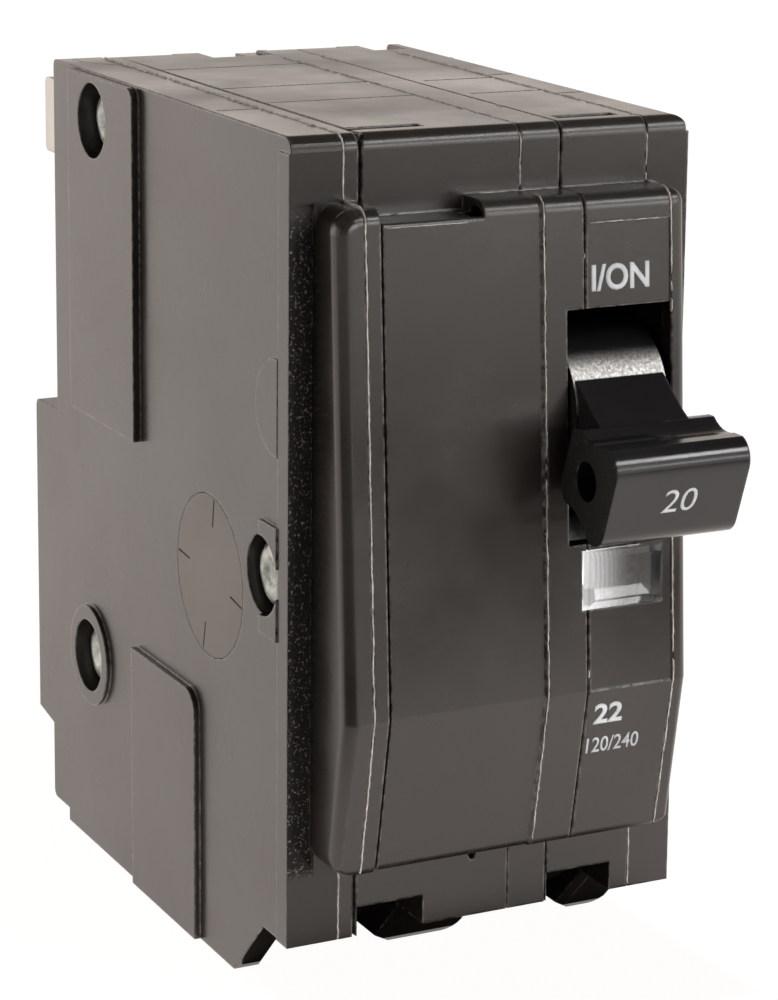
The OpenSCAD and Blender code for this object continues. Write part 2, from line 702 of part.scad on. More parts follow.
module right_cover() color([0.13, 0.12, 0.12]) place() difference() {
    union() {
        difference() {
            union() {
                difference() {
                    body_shell(seam_right_cover, body_w);
                    top_edge(1.1);
                }
                difference() {
                    nose_shell(seam_right_cover, body_w - nose_right_in);
                    nose_edge(body_w - nose_right_in, -1, 1);
                    top_corner(body_w - nose_right_in, -1, 1, 1.2);
                    foot_corner(body_w - nose_right_in, -1, 0.8, 1.2);
                }
            }
            room(0, body_w - side_wall, 0, body_w - nose_right_in - side_wall);
        }
        for (at = rivets) rod(seam_right_cover, body_w - side_wall / 2, at, cover_boss_r);
        shaft_bosses(seam_right_cover, body_w - side_wall / 2,
            seam_right_cover, body_w - nose_right_in - 0.5);
        chute_ribs(1, 1, body_w - side_wall / 2, seam_right_cover);
        yoke_ribs(1, 1, body_w - side_wall / 2);
        block([seam_right_cover, body_w - side_wall / 2], [notch_y - 1.5, body_depth - 0.1],
            [step_z - wall, body_h - 1.3]);
        translate([body_w, 0, 0]) mirror([1, 0, 0]) cover_relief(body_h - 1.4);
    }
    translate([body_w, 0, 0]) mirror([1, 0, 0]) cover_cuts();
    block([0, right_notch_x[1]], [notch_y, far], [step_z, far]);
    rivet_holes();
    shaft_holes(0, seam_right_cover + shaft_in + 0.1);
    wire_gaps();
    feet_corners();
    top_lines(seam_right_cover - 1, body_w - 0.6, [16.6, 30.4]);
}

module calibration_plugs() color([0.30, 0.26, 0.23]) place() for (side = [0, 1])
    translate([side * body_w, 0, 0]) mirror([side, 0, 0]) difference() {
        rod(0, plug_t, plug_at, plug_r);
        // four short ticks at the rim
        for (a = [5, 98, 189, 282]) translate([0, plug_at[0], plug_at[1]]) rotate([a, 0, 0])
            block([-1, 0.2], [plug_r - 2.8, plug_r - 0.2], [-0.09, 0.09]);
    }

module housing_rivets() color([0.75, 0.75, 0.73]) place() for (at = rivets) {
    rod(rivet_pocket_d - 0.5, body_w - rivet_pocket_d + 0.5, at, rivet_r);
    for (side = [0, 1]) translate([side * body_w, at[0], at[1]]) mirror([side, 0, 0])
        translate([rivet_pocket_d - 0.01, 0, 0]) rotate([0, -90, 0]) rivet_head();
}

// Domed rivet head with a dimple in its middle
module rivet_head() {
    r = rivet_pocket_r - 0.35;
    rotate_extrude() polygon(concat([[0, 0], [r, 0], [r, 0.25]], arc([r - 0.9, 0.1], 0.9, 20, 90, 4),
        [[1.2, 1.1], [0.7, 0.75], [0, 0.7]]));
}

// ---------- handle ----------

// Half of the lever's end outline, above the middle line, front to back; u points forward
function lever_half() = concat(
    arc([lever_front, lever_h / 2 - corner_r], corner_r, 0, 90),
    arc([lever_front - 3.4, lever_h / 2 + 2.2], 3.4, -52, -112, 6),
    arc([lever_front - 4.8, lever_h / 2 - 2.35], 1.3, 105, 180, 4));

module handle() color([0.07, 0.07, 0.08]) place() at_handle() {
    half = lever_half();
    n = len(half);
    outline = concat([for (p = half) [-p[0], p[1]]], [for (i = [n - 1:-1:0]) [-half[i][0], -half[i][1]]]);
    stem_x = [barrel_x[0] + 0.2, barrel_x[1] - 0.2];
    difference() {
        union() {
            rod(barrel_x[0], barrel_x[1], [0, 0], barrel_r);
            prism(pole_x[1] - lever_w / 2, pole_x[1] + lever_w / 2, outline);
            prism(stem_x[0], stem_x[1], [[0, -5.15], [-4.65, -5.05], [-8.7, -3.85], [-12, -3.3],
                [-12, 3.3], [-8.7, 3.85], [-4.65, 5.05], [0, 5.15]]);
            for (side = [-1, 1]) cheek(pole_x[1] + side * 2.6);
        }
        rod(0, far, [-tie_hole_y, 0], tie_hole_r);
        rod(0, far, [crank_r, 0], arm_pin_r);
        rod(0, far, [0, 0], shaft_r);
        arm_slot(1);
    }
}

// Cheek that carries the crank pin, drawn in the handle's frame
module cheek(x) {
    t = 0.75;
    prism(x - t, x + t, concat([[0, -3.6]], arc([crank_r, 0], arm_head_r, -90, 90), [[0, 3.6]]));
}

// Room between the cheeks for the arm's head
module arm_slot(p) {
    rod(pole_x[p] - arm_w / 2 - side_fit, pole_x[p] + arm_w / 2 + side_fit, [crank_r, 0], arm_head_r + 0.4);
}

module left_crank() color([0.07, 0.07, 0.08]) place() at_handle() difference() {
    union() {
        rod(pole_x[0] - 3.4, pole_x[0] + 3.4, [0, 0], 3.9);
        for (side = [-1, 1]) cheek(pole_x[0] + side * 2.6);
    }
    rod(0, far, [crank_r, 0], arm_pin_r);
    rod(0, far, [0, 0], shaft_r);
    arm_slot(0);
}

module handle_shaft() color([0.72, 0.72, 0.70]) place()
    rod(left_cover_w - shaft_in, seam_right_cover + shaft_in, pivot, shaft_r);

module crank_pins() color([0.72, 0.72, 0.70]) place()
    for (x = pole_x) rod(x - 3.35, x + 3.35, pin_off, arm_pin_r);

// ---------- indicator ----------

module indicator_lens() color([0.85, 0.9, 0.92, 0.5]) place() {
    z = window_z + window_h / 2;
    gap = run_fit;
    y = -nose_out(z) - lens_proud;
    difference() {
        prism(window_x + gap, window_x + window_w - gap, [[-4.5, window_z + gap], [y + 0.6, window_z + gap],
            [y - 0.1, window_z + 0.9], [y + 0.05, window_z + window_h - 0.5],
            [y + 0.4, window_z + window_h - gap], [-4.5, window_z + window_h - gap]]);
        // bevelled side edges
        for (side = [0, 1]) translate([window_x + window_w / 2, y + 0.7, z - 5]) mirror([side, 0, 0])
            translate([-window_w / 2, 0, 0]) rotate([0, 0, -45]) translate([-1, -3, 0]) cube([4, 3, 10]);
    }
}

module trip_flag() color([0.75, 0.10, 0.06]) place() {
    x = [window_x + 0.4, window_x + window_w - 0.4];
    low = window_z - flag_travel - 2.6;
    block(x, [-3.4, -2.4], [low, window_z - 0.6]);
    block([pole_x[1] - 1.5, pole_x[1] + 1.5], [-2.5, 11.2], [low, low + 1.8]);
    block([pole_x[1] - 1.5, pole_x[1] + 1.5], [10, 11.2], [low, low + 4]);
}

// ---------- contacts and arc chutes ----------

// Contact arm, drawn closed: head on the crank pin, shank and level contact pad
module contact_arm(p) {
    pad_z = moving_top_z - moving_t;
    pad_y = [contact_y - 3, contact_y + 3];
    half = arm_w / 2;
    place() arm_open() difference() {
        union() {
            rod(pole_x[p] - half, pole_x[p] + half, pin_on, arm_head_r);
            prism(pole_x[p] - half, pole_x[p] + half, [pin_on + [-0.9, 1.9], pin_on + [1, -1.9],
                [pad_y[0], pad_z - pad_t - 0.6], [pad_y[1], pad_z - pad_t], [pad_y[1], pad_z],
                [pad_y[0], pad_z]]);
        }
        rod(0, far, pin_on, arm_pin_r + run_fit);
        for (down = [0, 0.7]) rod(0, far, arm_hook - [0, down], 0.6);
    }
}
arm_hook = pin_on + [15.2, 7.4];

module contact_arm_left() color([0.72, 0.42, 0.25]) contact_arm(0);
module contact_arm_right() color([0.72, 0.42, 0.25]) contact_arm(1);

module moving_contact(p) {
    place() arm_open() translate([pole_x[p], contact_y, moving_top_z - moving_t])
        cylinder(d = contact_d, h = moving_t);
}
module moving_contact_left() color([0.80, 0.80, 0.78]) moving_contact(0);
module moving_contact_right() color([0.80, 0.80, 0.78]) moving_contact(1);

module fixed_contacts() color([0.80, 0.80, 0.78]) place()
    for (x = pole_x) translate([x, contact_y, strap_z - contact_t]) cylinder(d = contact_d, h = contact_t);

// Plug-on jaw: two leaves that stand out of the back, their base and the strap to the fixed contact
module line_jaw(p) {
    half = jaw_gap / 2;
    x = jaw_x[p];
    strap_x = [x + 0.5, x + half + jaw_t - 0.2];
    place() {
        for (side = [-1, 1]) leaf(x + side * (half + jaw_t / 2));
        block([x - half - jaw_t, x + half + jaw_t], [jaw_base_y, jaw_base_y + jaw_t], [jaw_z, jaw_z + jaw_h]);
        block(strap_x, [jaw_base_y, jaw_base_y + jaw_t], [strap_z, jaw_z + 1]);
        block(strap_x, [contact_y + 3.6, jaw_base_y + jaw_t], [strap_z, strap_z + strip_t]);
        block([strap_x[0], pole_x[p] + 2.5], [contact_y - 3, contact_y + 4], [strap_z, strap_z + strip_t]);
    }
}
// One leaf of a jaw, with rounded free corners
module leaf(x) {
    end = body_depth + jaw_out;
    prism(x - jaw_t / 2, x + jaw_t / 2, concat([[jaw_base_y, jaw_z]],
        arc([end - 0.6, jaw_z + 0.6], 0.6, -90, 0, 3),
        arc([end - 0.6, jaw_z + jaw_h - 0.6], 0.6, 0, 90, 3), [[jaw_base_y, jaw_z + jaw_h]]));
}
module line_jaw_left() color([0.78, 0.76, 0.70]) line_jaw(0);
module line_jaw_right() color([0.78, 0.76, 0.70]) line_jaw(1);

// Splitter plates with a throat for the arm's tip
module arc_stack(p) {
    pitch = (chute_z[1] - chute_z[0] - arc_plate_t - 1.2) / (arc_plates - 1);
    place() for (i = [0:arc_plates - 1]) difference() {
        block([pole_x[p] - chute_half + chute_t, pole_x[p] + chute_half - chute_t],
            [chute_y[0], chute_y[1] - chute_t], span(chute_z[0] + 0.6 + i * pitch, arc_plate_t));
        translate([pole_x[p], 0, 0]) linear_extrude(far) polygon([[-3.2, chute_y[0] - 1], [3.2, chute_y[0] - 1],
            [2.1, chute_y[0] + 4.5], [2.1, chute_y[0] + 6.6],
            [-2.1, chute_y[0] + 6.6], [-2.1, chute_y[0] + 4.5]]);
    }
}
module arc_plates_left() color([0.60, 0.60, 0.60]) arc_stack(0);
module arc_plates_right() color([0.60, 0.60, 0.60]) arc_stack(1);

// Fibre frame that holds the plates: two sides and a vented back
module arc_chute(p) {
    x = [pole_x[p] - chute_half, pole_x[p] + chute_half];
    place() difference() {
        block(x, chute_y, chute_z);
        block([x[0] + chute_t, x[1] - chute_t], [0, chute_y[1] - chute_t], [0, far]);
        for (i = [0:2]) block([pole_x[p] - 3, pole_x[p] + 3], [chute_y[1] - 2, far],
            span(chute_z[0] + 2.4 + i * 3.8, 1.6));
    }
}
module arc_chute_left() color([0.55, 0.40, 0.30]) arc_chute(0);
module arc_chute_right() color([0.55, 0.40, 0.30]) arc_chute(1);

// ---------- tripping mechanism ----------

// Cradle: hub on its pin, arm whose tip hangs over the armature, lug for the spring
cradle_hook = [26.5, 45.6];
module cradle(p) {
    tip = [latch_y - latch_hold, armature_top + latch_gap];
    x = pole_x[p];
    place() difference() {
        union() {
            rod(x - 3.5, x + 3.5, cradle_pivot, 2.3);
            prism(x - 1, x + 1, [tip, [24, tip[1]], cradle_hook - [1.1, 1.6], cradle_hook + [1.1, -1.6],
                [29.4, 45.2], cradle_pivot - [0, 2.2], cradle_pivot + [0, 2.2], [31, 47.4],
                cradle_hook + [0.6, 1.1],
                cradle_hook + [-0.8, 1.2], [24, tip[1] + 1.8], [tip[0] + 0.4, tip[1] + 1.8]]);
        }
        rod(0, far, cradle_pivot, cradle_pin_r + run_fit);
        rod(0, far, cradle_hook, 0.6);
    }
}
module cradle_left() color([0.62, 0.62, 0.60]) cradle(0);
module cradle_right() color([0.62, 0.62, 0.60]) cradle(1);

module cradle_pins() color([0.72, 0.72, 0.70]) place() {
    rod(left_cover_w - shaft_in, seam_centre - 0.3, cradle_pivot, cradle_pin_r);
    rod(seam_centre + 0.3, seam_right_cover + shaft_in, cradle_pivot, cradle_pin_r);
}

// Closely wound tension spring from the cradle's lug up to the arm, with a loop at each end
spring_wire = 0.28;
module toggle_spring(p) {
    top = pin_off + turn(arm_hook - pin_on, -arm_swing);
    length = norm(top - cradle_hook) + spring_spare;
    r = arm_w / 2 + 0.4;
    from = 1.5 * r;
    rise = (length - 2 * from) / spring_turns;
    path = concat([for (a = [-250:25:0]) [r * cos(a), 0, r + r * sin(a)]],
        [for (a = [30:30:360 * spring_turns - 30]) [r * cos(a), r * sin(a), from + rise * a / 360]],
        [for (a = [0:25:250]) [r * cos(a), 0, length - r + r * sin(a)]]);
    place() translate([pole_x[p], cradle_hook[0], cradle_hook[1]])
        rotate([atan((cradle_hook[0] - top[0]) / (top[1] - cradle_hook[1])), 0, 0]) wire(path, spring_wire, 6);
}
spring_spare = 0.3;

// A point in y and z turned about the origin
function turn(v, a) = [v[0] * cos(a) - v[1] * sin(a), v[0] * sin(a) + v[1] * cos(a)];

module toggle_spring_left() color([0.70, 0.70, 0.70]) toggle_spring(0);
module toggle_spring_right() color([0.70, 0.70, 0.70]) toggle_spring(1);

// Armature: plate that hangs on its trunnions, with the latch edge on top
module armature(p) {
    x = pole_x[p];
    y = armature_pivot[0];
    half = 2.8;
    place() {
        difference() {
            block([x - half, x + half], [y - armature_t / 2, y + armature_t / 2],
                [armature_pivot[1] - 1.6, armature_top]);
            block([x - 1.2, x + 1.2], [0, far], [armature_pivot[1] + 5, armature_pivot[1] + 15]);
        }
        rod(x - 4.1, x + 4.1, armature_pivot, small_pin_r);
    }
}
module armature_left() color([0.55, 0.56, 0.58]) armature(0);
module armature_right() color([0.55, 0.56, 0.58]) armature(1);

// Magnet yoke: channel round the bimetal, with ears for the armature
module magnet_yoke(p) {
    x = pole_x[p];
    half = 4.2;
    y0 = bimetal_y - 1.5;
    place() difference() {
        union() {
            block([x - half, x + half], [y0, y0 + 1.2], yoke_z);
            for (side = [-1, 1]) translate([x + side * (half - yoke_leg / 2), 0, 0]) {
                block([-yoke_leg / 2, yoke_leg / 2], [y0, 19], yoke_z);
                prism(-yoke_leg / 2, yoke_leg / 2, concat([[18, yoke_z[0] + 3.4], [18, yoke_z[0]]],
                    arc(armature_pivot, 1.9, -90, 90, 8)));
            }
        }
        rod(0, far, armature_pivot, small_pin_r + run_fit);
    }
}
module magnet_yoke_left() color([0.50, 0.50, 0.52]) magnet_yoke(0);
module magnet_yoke_right() color([0.50, 0.50, 0.52]) magnet_yoke(1);

// Bimetal strip, on the load strap's upright, with a hooked top
module bimetal(p) {
    x = pole_x[p];
    place() {
        block([x - 2.5, x + 2.5], [bimetal_y, bimetal_y + strip_t], [14, 43]);
        block([x - 1.2, x + 1.2], [bimetal_y, bimetal_y + 3], [42, 43]);
    }
}
module bimetal_left() color([0.70, 0.62, 0.48]) bimetal(0);
module bimetal_right() color([0.70, 0.62, 0.48]) bimetal(1);

// Flexible copper braid from the arm's side to the bimetal's top
module braid(p) {
    x = pole_x[p];
    start = pin_off + turn([9.5, 4.2], -arm_swing);
    side = arm_w / 2 + 0.8;
    end = [bimetal_y + strip_t / 2, 43.72];
    n = 18;
    place() wire([for (i = [0:n]) let (t = i / n, s = 3 * t * t - 2 * t * t * t)
        [x + side - 0.6 * s, start[0] + (end[0] - start[0]) * t - 3.2 * sin(180 * t),
            start[1] + (end[1] - start[1]) * s]], 0.7);
}
module braid_left() color([0.72, 0.42, 0.25]) braid(0);
module braid_right() color([0.72, 0.42, 0.25]) braid(1);

// Trip bar: runs through both poles, with a finger behind each armature
module trip_bar() color([0.85, 0.82, 0.72]) place() {
    rod(left_cover_w - shaft_in, seam_right_cover + shaft_in, bar_pivot, bar_r);
    for (x = pole_x) prism(x - 1.4, x + 1.4,
        [bar_pivot + [1.2, -1], bar_pivot + [-0.6, -1.4], bar_pivot + [-7.2, 3.8],
        bar_pivot + [-6.6, 5.4], bar_pivot + [0.6, 1.4]]);
}

// ---------- terminals ----------

// Strap of one terminal: threaded slope for the screw, then the upright that carries the bimetal
module load_strap(p) {
    x = pole_x[p];
    w = recess_w / 2 - 0.1;
    t = strip_t / 2;
    d = 0.707;
    a = strap_point + strap_half * [-d, d];
    b = strap_point + strap_half * [d, -d];
    rise = bimetal_y + strip_t;
    c = [rise, b[1] + (rise - b[0])];
    out = t * [d, d];
    place() difference() {
        prism(x - w, x + w, [a - out, b - out, b - out + [2 * t * 1.414, 0], [rise + 2 * t, c[1] - 0.5],
            [rise + 2 * t, 19.5], [rise, 19.5], [rise, c[1] + 0.4], b + out + [0, 0.3], a + out]);
        at_screw(p) cylinder(r = screw_r + run_fit, h = 12, center = true);
    }
}
module load_strap_left() color([0.72, 0.42, 0.25]) load_strap(0);
module load_strap_right() color([0.72, 0.42, 0.25]) load_strap(1);

clamp_z = strip_t / 2 + wire_room;
screw_end = 2.2;

// Clamp plate: square washer with two turned edges that keep the wire under the screw
module clamp_plate(p) {
    place() at_screw(p) difference() {
        union() {
            block([-2.95, 2.95], [-2.95, 2.95], [clamp_z, clamp_z + strip_t]);
            // two ridges that keep the wire under the screw
            for (side = [-1, 1]) translate([0, side * 2.5, 0])
                block([-2.95, 2.95], [-0.35, 0.35], [clamp_z - 0.5, clamp_z]);
        }
        cylinder(r = screw_r + run_fit, h = 12);
    }
}
module clamp_plate_left() color([0.75, 0.73, 0.66]) clamp_plate(0);
module clamp_plate_right() color([0.75, 0.73, 0.66]) clamp_plate(1);

// Terminal screw: shank, round head and slot
module terminal_screw(p) {
    head_z = clamp_z + strip_t;
    place() at_screw(p) difference() {
        union() {
            translate([0, 0, -screw_end]) cylinder(r = screw_r, h = head_z + screw_end);
            translate([0, 0, head_z]) cylinder(r = screw_head_r, h = 1.8);
        }
        translate([0, 0, head_z + 1.4]) cube([0.8, 8, 1.6], center = true);
        translate([0, 0, head_z + 1.4]) cube([3.4, 0.8, 1.6], center = true);
    }
}
module terminal_screw_left() color([0.75, 0.73, 0.66]) terminal_screw(0);
module terminal_screw_right() color([0.75, 0.73, 0.66]) terminal_screw(1);

left_cover();
left_case();
centre_case();
right_case();
right_cover();
calibration_plugs();
housing_rivets();
handle();
handle_shaft();
left_crank();
crank_pins();
indicator_lens();
trip_flag();
contact_arm_left();
contact_arm_right();
moving_contact_left();
moving_contact_right();
fixed_contacts();
line_jaw_left();
line_jaw_right();
arc_plates_left();
arc_plates_right();
arc_chute_left();
arc_chute_right();
toggle_spring_left();
toggle_spring_right();
cradle_left();
cradle_right();
cradle_pins();
armature_left();
armature_right();
magnet_yoke_left();
magnet_yoke_right();
bimetal_left();
bimetal_right();
braid_left();
braid_right();
trip_bar();
load_strap_left();
load_strap_right();
clamp_plate_left();
clamp_plate_right();
terminal_screw_left();
terminal_screw_right();
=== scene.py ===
# %% [markdown]
# # A two-pole plug-in circuit breaker
#
# A plug-in breaker is a stack of black phenolic mouldings, riveted through from side to side.
# It has one rocker handle, a clear trip window, two jaws at the back that grip the panel's
# stabs, and two screw terminals at the bottom. The shapes come from a packed mechanical model,
# and this notebook gives them their finishes, the light and the camera.

# %% Load the frame
import math
import random

import bmesh
import bpy
from mathutils import Matrix, Vector
from mathutils.bvhtree import BVHTree


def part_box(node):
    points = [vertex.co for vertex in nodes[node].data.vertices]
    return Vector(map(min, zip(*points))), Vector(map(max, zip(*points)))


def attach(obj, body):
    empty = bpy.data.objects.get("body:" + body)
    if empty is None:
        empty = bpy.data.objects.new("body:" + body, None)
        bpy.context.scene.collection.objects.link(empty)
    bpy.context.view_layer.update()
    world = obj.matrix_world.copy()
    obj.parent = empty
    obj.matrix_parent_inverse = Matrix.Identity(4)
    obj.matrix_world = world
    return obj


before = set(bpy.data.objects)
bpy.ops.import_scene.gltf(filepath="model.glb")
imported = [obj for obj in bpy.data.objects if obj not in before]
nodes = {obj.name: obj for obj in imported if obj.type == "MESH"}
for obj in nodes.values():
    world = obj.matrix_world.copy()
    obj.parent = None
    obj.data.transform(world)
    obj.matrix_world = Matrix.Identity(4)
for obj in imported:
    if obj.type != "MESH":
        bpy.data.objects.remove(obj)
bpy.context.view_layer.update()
MM = 0.001

# %% [markdown]
# ## Where the drawing's measures lie
#
# The mechanical model was drawn from its left side face, its front face and a level a little
# above the soles of its feet. One small helper turns such a measure in millimetres into the
# shared frame in metres, and another turns it back, so that every later cell can speak in the
# maker's own measures. The handle's shaft fixes the front face, because its middle lies a known
# way behind it. The few sizes that the dressing needs again are named here once.

# %% The drawing's corner
SHAFT_R = 1.5
PIVOT = (0.4, 52.45)  # the handle's axis: behind the front face, and above the foot level
LEVER_REACH, LEVER_DROP = 16.8, math.radians(20)
FRONT_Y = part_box("handle_shaft")[0].y + (SHAFT_R - PIVOT[0]) * MM
HALF_W = 19.05 * MM  # of the body
FOOT_Z = -0.6
# The joints between the five mouldings, from the left side face
LEFT_SEAM, MIDDLE_SEAM, CASE_SEAM, RIGHT_SEAM = 4.7, 21.5, 25.46, 34.05


def at(x, y, z):
    """A point given in millimetres from the left face, the front face and the foot level."""
    return Vector((x * MM - HALF_W, y * MM + FRONT_Y, (z - FOOT_Z) * MM))


def drawn(point):
    """A place in the frame given back in the drawing's millimetres."""
    return (point.x + HALF_W) / MM, (point.y - FRONT_Y) / MM, point.z / MM + FOOT_Z


print("front face at y =", round(FRONT_Y, 6))

# %% [markdown]
# ## The camera
#
# The breaker is seen from its front left corner, a little from above, through a long lens, so
# that its upright edges stay nearly parallel. A camera can be aimed by turning it about three
# angles, but here it is placed by its own three axes: where it looks, and which way is up in the
# picture. The place was worked out from the edges of the housing, so it is written as numbers.

# %% Camera
FOCAL = 3.21473  # in heights of the picture
SENSOR = 36  # mm, along the picture's height
CAMERA_AT = at(-108.393, -240.272, 116.401)
azimuth, elevation, roll = (math.radians(a) for a in (-28.003, 12.002, 0.981))


def show(name, data):
    """A new object that shows data, linked to the scene."""
    shown = bpy.data.objects.new(name, data)
    bpy.context.scene.collection.objects.link(shown)
    return shown


away = Vector((
    math.sin(azimuth) * math.cos(elevation),
    -math.cos(azimuth) * math.cos(elevation),
    math.sin(elevation),
))
side = (-away).cross(Vector((0, 0, 1))).normalized()
over = side.cross(-away)
cam_x = math.cos(roll) * side + math.sin(roll) * over
cam_y = -math.sin(roll) * side + math.cos(roll) * over
lens = bpy.data.cameras.new("studio_camera")
camera = show("studio_camera", lens)
bpy.context.scene.camera = camera
turned = Matrix((cam_x, cam_y, away)).transposed().to_4x4()
camera.matrix_world = Matrix.Translation(CAMERA_AT) @ turned
lens.sensor_width = SENSOR
lens.lens = FOCAL * SENSOR
lens.shift_x, lens.shift_y = -0.1064, -0.1603
lens.clip_start, lens.clip_end = 0.01, 20
bpy.context.scene.view_settings.view_transform = "Standard"
print("camera at", [round(v, 4) for v in CAMERA_AT])

# %% [markdown]
# ## Floor, backdrop and light
#
# Black plastic shows little colour of its own: what the eye sees is the room reflected in it.
# So the room is what gets designed. It is bright near the horizon, which the flat faces mirror,
# and dark overhead, which the rounded lips mirror as a black band. A low strip of light at the
# front right draws a thin bright line along every lip, and a black card on the floor in front
# darkens the rounded left edge of the nose. The floor is shown white to the camera and still
# takes the breaker's shadow.
#
# Every finish and backdrop below is a tree of shader nodes. Such a tree could be clicked
# together by hand. In code it stays readable when each node is made in one line, with its
# values beside it, and all joins of a tree stand in one list at its end.

# %% Nodes and joins by name
MIX_A, MIX_B, MIX_OUT = 6, 7, 2  # the sockets of a Mix node that carry colours


def material(name):
    """An empty material, and its tree."""
    m = bpy.data.materials.new(name)
    m.use_nodes = True
    m.node_tree.nodes.clear()
    return m, m.node_tree


def node(tree, kind, sockets=None, **named):
    """A shader node, with properties and inputs set by name, and inputs by number too."""
    n = tree.nodes.new(kind)
    for key, value in named.items():
        if hasattr(n, key):
            setattr(n, key, value)
        else:
            n.inputs[key.replace("_", " ")].default_value = value
    for number, value in (sockets or {}).items():
        n.inputs[number].default_value = value
    return n


def ramp(tree, low, high, at_low=0.0, at_high=1.0, smooth=False):
    """Turns a value from low to high into one from at_low to at_high, and holds it beyond."""
    return node(tree, "ShaderNodeMapRange", From_Min=low, From_Max=high, To_Min=at_low,
                To_Max=at_high, interpolation_type="SMOOTHSTEP" if smooth else "LINEAR")


def calc(tree, operation, sockets=None, clamp=False):
    """A Math node."""
    return node(tree, "ShaderNodeMath", sockets, operation=operation, use_clamp=clamp)


def mix(tree, sockets=None):
    """A Mix node for colours."""
    return node(tree, "ShaderNodeMix", sockets, data_type="RGBA")


def wire(tree, *joins):
    """Joins nodes; each join is (from a node, its output, to a node, its input)."""
    for start, out_of, end, into in joins:
        tree.links.new(start.outputs[out_of], end.inputs[into])


print("helpers ready")

# %% Floor
FLOOR_SHOWN = 0.85  # how much of the floor's look to the camera is plain white
FLOOR_GLOW = 0.92  # how brightly reflections see it

paper, t = material("pale_floor")
ray = node(t, "ShaderNodeLightPath")
dull = node(t, "ShaderNodeBsdfDiffuse", Color=(0.82, 0.82, 0.82, 1))
glow = node(t, "ShaderNodeEmission", Color=(1, 0.905, 0.85, 1), Strength=FLOOR_GLOW)
lit = node(t, "ShaderNodeAddShader")
white = node(t, "ShaderNodeEmission", Color=(1, 1, 1, 1), Strength=1.0)
share = calc(t, "MULTIPLY", {1: FLOOR_SHOWN})
mixed = node(t, "ShaderNodeMixShader")
out = node(t, "ShaderNodeOutputMaterial")
wire(t, (ray, "Is Camera Ray", share, 0), (share, 0, mixed, 0), (dull, 0, lit, 0),
     (glow, 0, lit, 1), (lit, 0, mixed, 1), (white, 0, mixed, 2), (mixed, 0, out, "Surface"))
bpy.ops.mesh.primitive_plane_add(size=6, location=(0, 0.6, 0))
floor = bpy.context.object
floor.name = "floor"
floor.data.materials.append(paper)
print("floor made")

# %% Black cards on the floor
CARD_Z = 0.0005  # just above the floor
WEDGE_STEPS = 12

soot, t = material("black_card")
dull = node(t, "ShaderNodeBsdfDiffuse", Color=(0.01, 0.01, 0.01, 1))
out = node(t, "ShaderNodeOutputMaterial")
wire(t, (dull, 0, out, "Surface"))


def wedge(left, right, near, far):
    """The rim of a wedge round the object, between two bearings and two distances."""
    bearings = [math.radians(left + (right - left) * i / WEDGE_STEPS)
                for i in range(WEDGE_STEPS + 1)]
    rim = [(near * math.sin(a), -near * math.cos(a), CARD_Z) for a in bearings]
    return rim + [(far * math.sin(a), -far * math.cos(a), CARD_Z) for a in reversed(bearings)]


def floor_card(name, rim):
    """A flat black card on the floor that only reflections see."""
    sheet = bpy.data.meshes.new(name)
    sheet.from_pydata(rim, [], [tuple(range(len(rim)))])
    sheet.materials.append(soot)
    card = show(name, sheet)
    card.visible_camera = False
    print(name, "with", len(rim), "corners")


floor_card("black_card", wedge(-84, -6, 0.075, 0.6))
floor_card("right_card", wedge(2, 50, 0.2, 0.5))
# Painted shade: the card under the breaker darkens the floor's glow where its shadow falls, and
# only reflections see it
under = [(-0.0185, -0.037), (0.022, -0.037), (0.019, 0.03), (-0.0185, 0.03)]
floor_card("under_card", [(x, y, CARD_Z) for x, y in under])

# %% Room
HORIZON, OVERHEAD, CAMERA_SIDE = 1.0, 0.12, 0.2  # how bright the room is there

world = bpy.data.worlds.new("studio")
bpy.context.scene.world = world
world.use_nodes = True
t = world.node_tree
t.nodes.clear()
ray = node(t, "ShaderNodeLightPath")
way = node(t, "ShaderNodeTexCoord")
parts = node(t, "ShaderNodeSeparateXYZ")
height = ramp(t, 0.26, 0.5, HORIZON, OVERHEAD, smooth=True)
facing = node(t, "ShaderNodeVectorMath", {1: (math.sin(azimuth), -math.cos(azimuth), 0)},
              operation="DOT_PRODUCT")
patch = ramp(t, 0.72, 0.88, 1.0, CAMERA_SIDE, smooth=True)
level = calc(t, "MULTIPLY")
room = node(t, "ShaderNodeBackground", Color=(1, 0.9, 0.82, 1))
seen = node(t, "ShaderNodeBackground", Color=(1, 1, 1, 1), Strength=1.0)
mixed = node(t, "ShaderNodeMixShader")
out = node(t, "ShaderNodeOutputWorld")
wire(t, (way, "Generated", parts, 0), (parts, "Z", height, "Value"),
     (way, "Generated", facing, 0), (facing, "Value", patch, "Value"),
     (height, "Result", level, 0), (patch, "Result", level, 1), (level, 0, room, "Strength"),
     (ray, "Is Camera Ray", mixed, 0), (room, 0, mixed, 1), (seen, 0, mixed, 2),
     (mixed, 0, out, "Surface"))
print("room made")

# %% Soft lamps
WHITE, WARM, WARMER = (1, 1, 1), (1, 0.9, 0.84), (1, 0.9, 0.82)


def softbox(name, place, target, width, height, watts, colour):
    """A rectangular lamp at place, facing target."""
    lamp = bpy.data.lights.new(name, "AREA")
    lamp.shape = "RECTANGLE"
    lamp.size, lamp.size_y, lamp.energy, lamp.color = width, height, watts, colour
    box = show(name, lamp)
    box.location = place
    box.rotation_mode = "QUATERNION"
    box.rotation_quaternion = (Vector(target) - Vector(place)).to_track_quat("-Z", "Y")
    print(name, watts, "W")


softbox("back_left_softbox", (-0.9, 0.75, 0.25), (0, 0, 0.04), 1.5, 0.7, 4.6, WARM)
softbox("back_right_softbox", (0.38, 1.05, 0.33), (0, 0, 0.07), 1.3, 0.3, 0.16, WARMER)
softbox("high_strip", (0.5, -0.65, 0.66), (0, 0, 0.05), 0.5, 0.08, 2.6, WHITE)
softbox("front_right_strip", (0.47, -0.88, 0.24), (0, 0, 0.04), 0.9, 0.12, 2.6, WHITE)

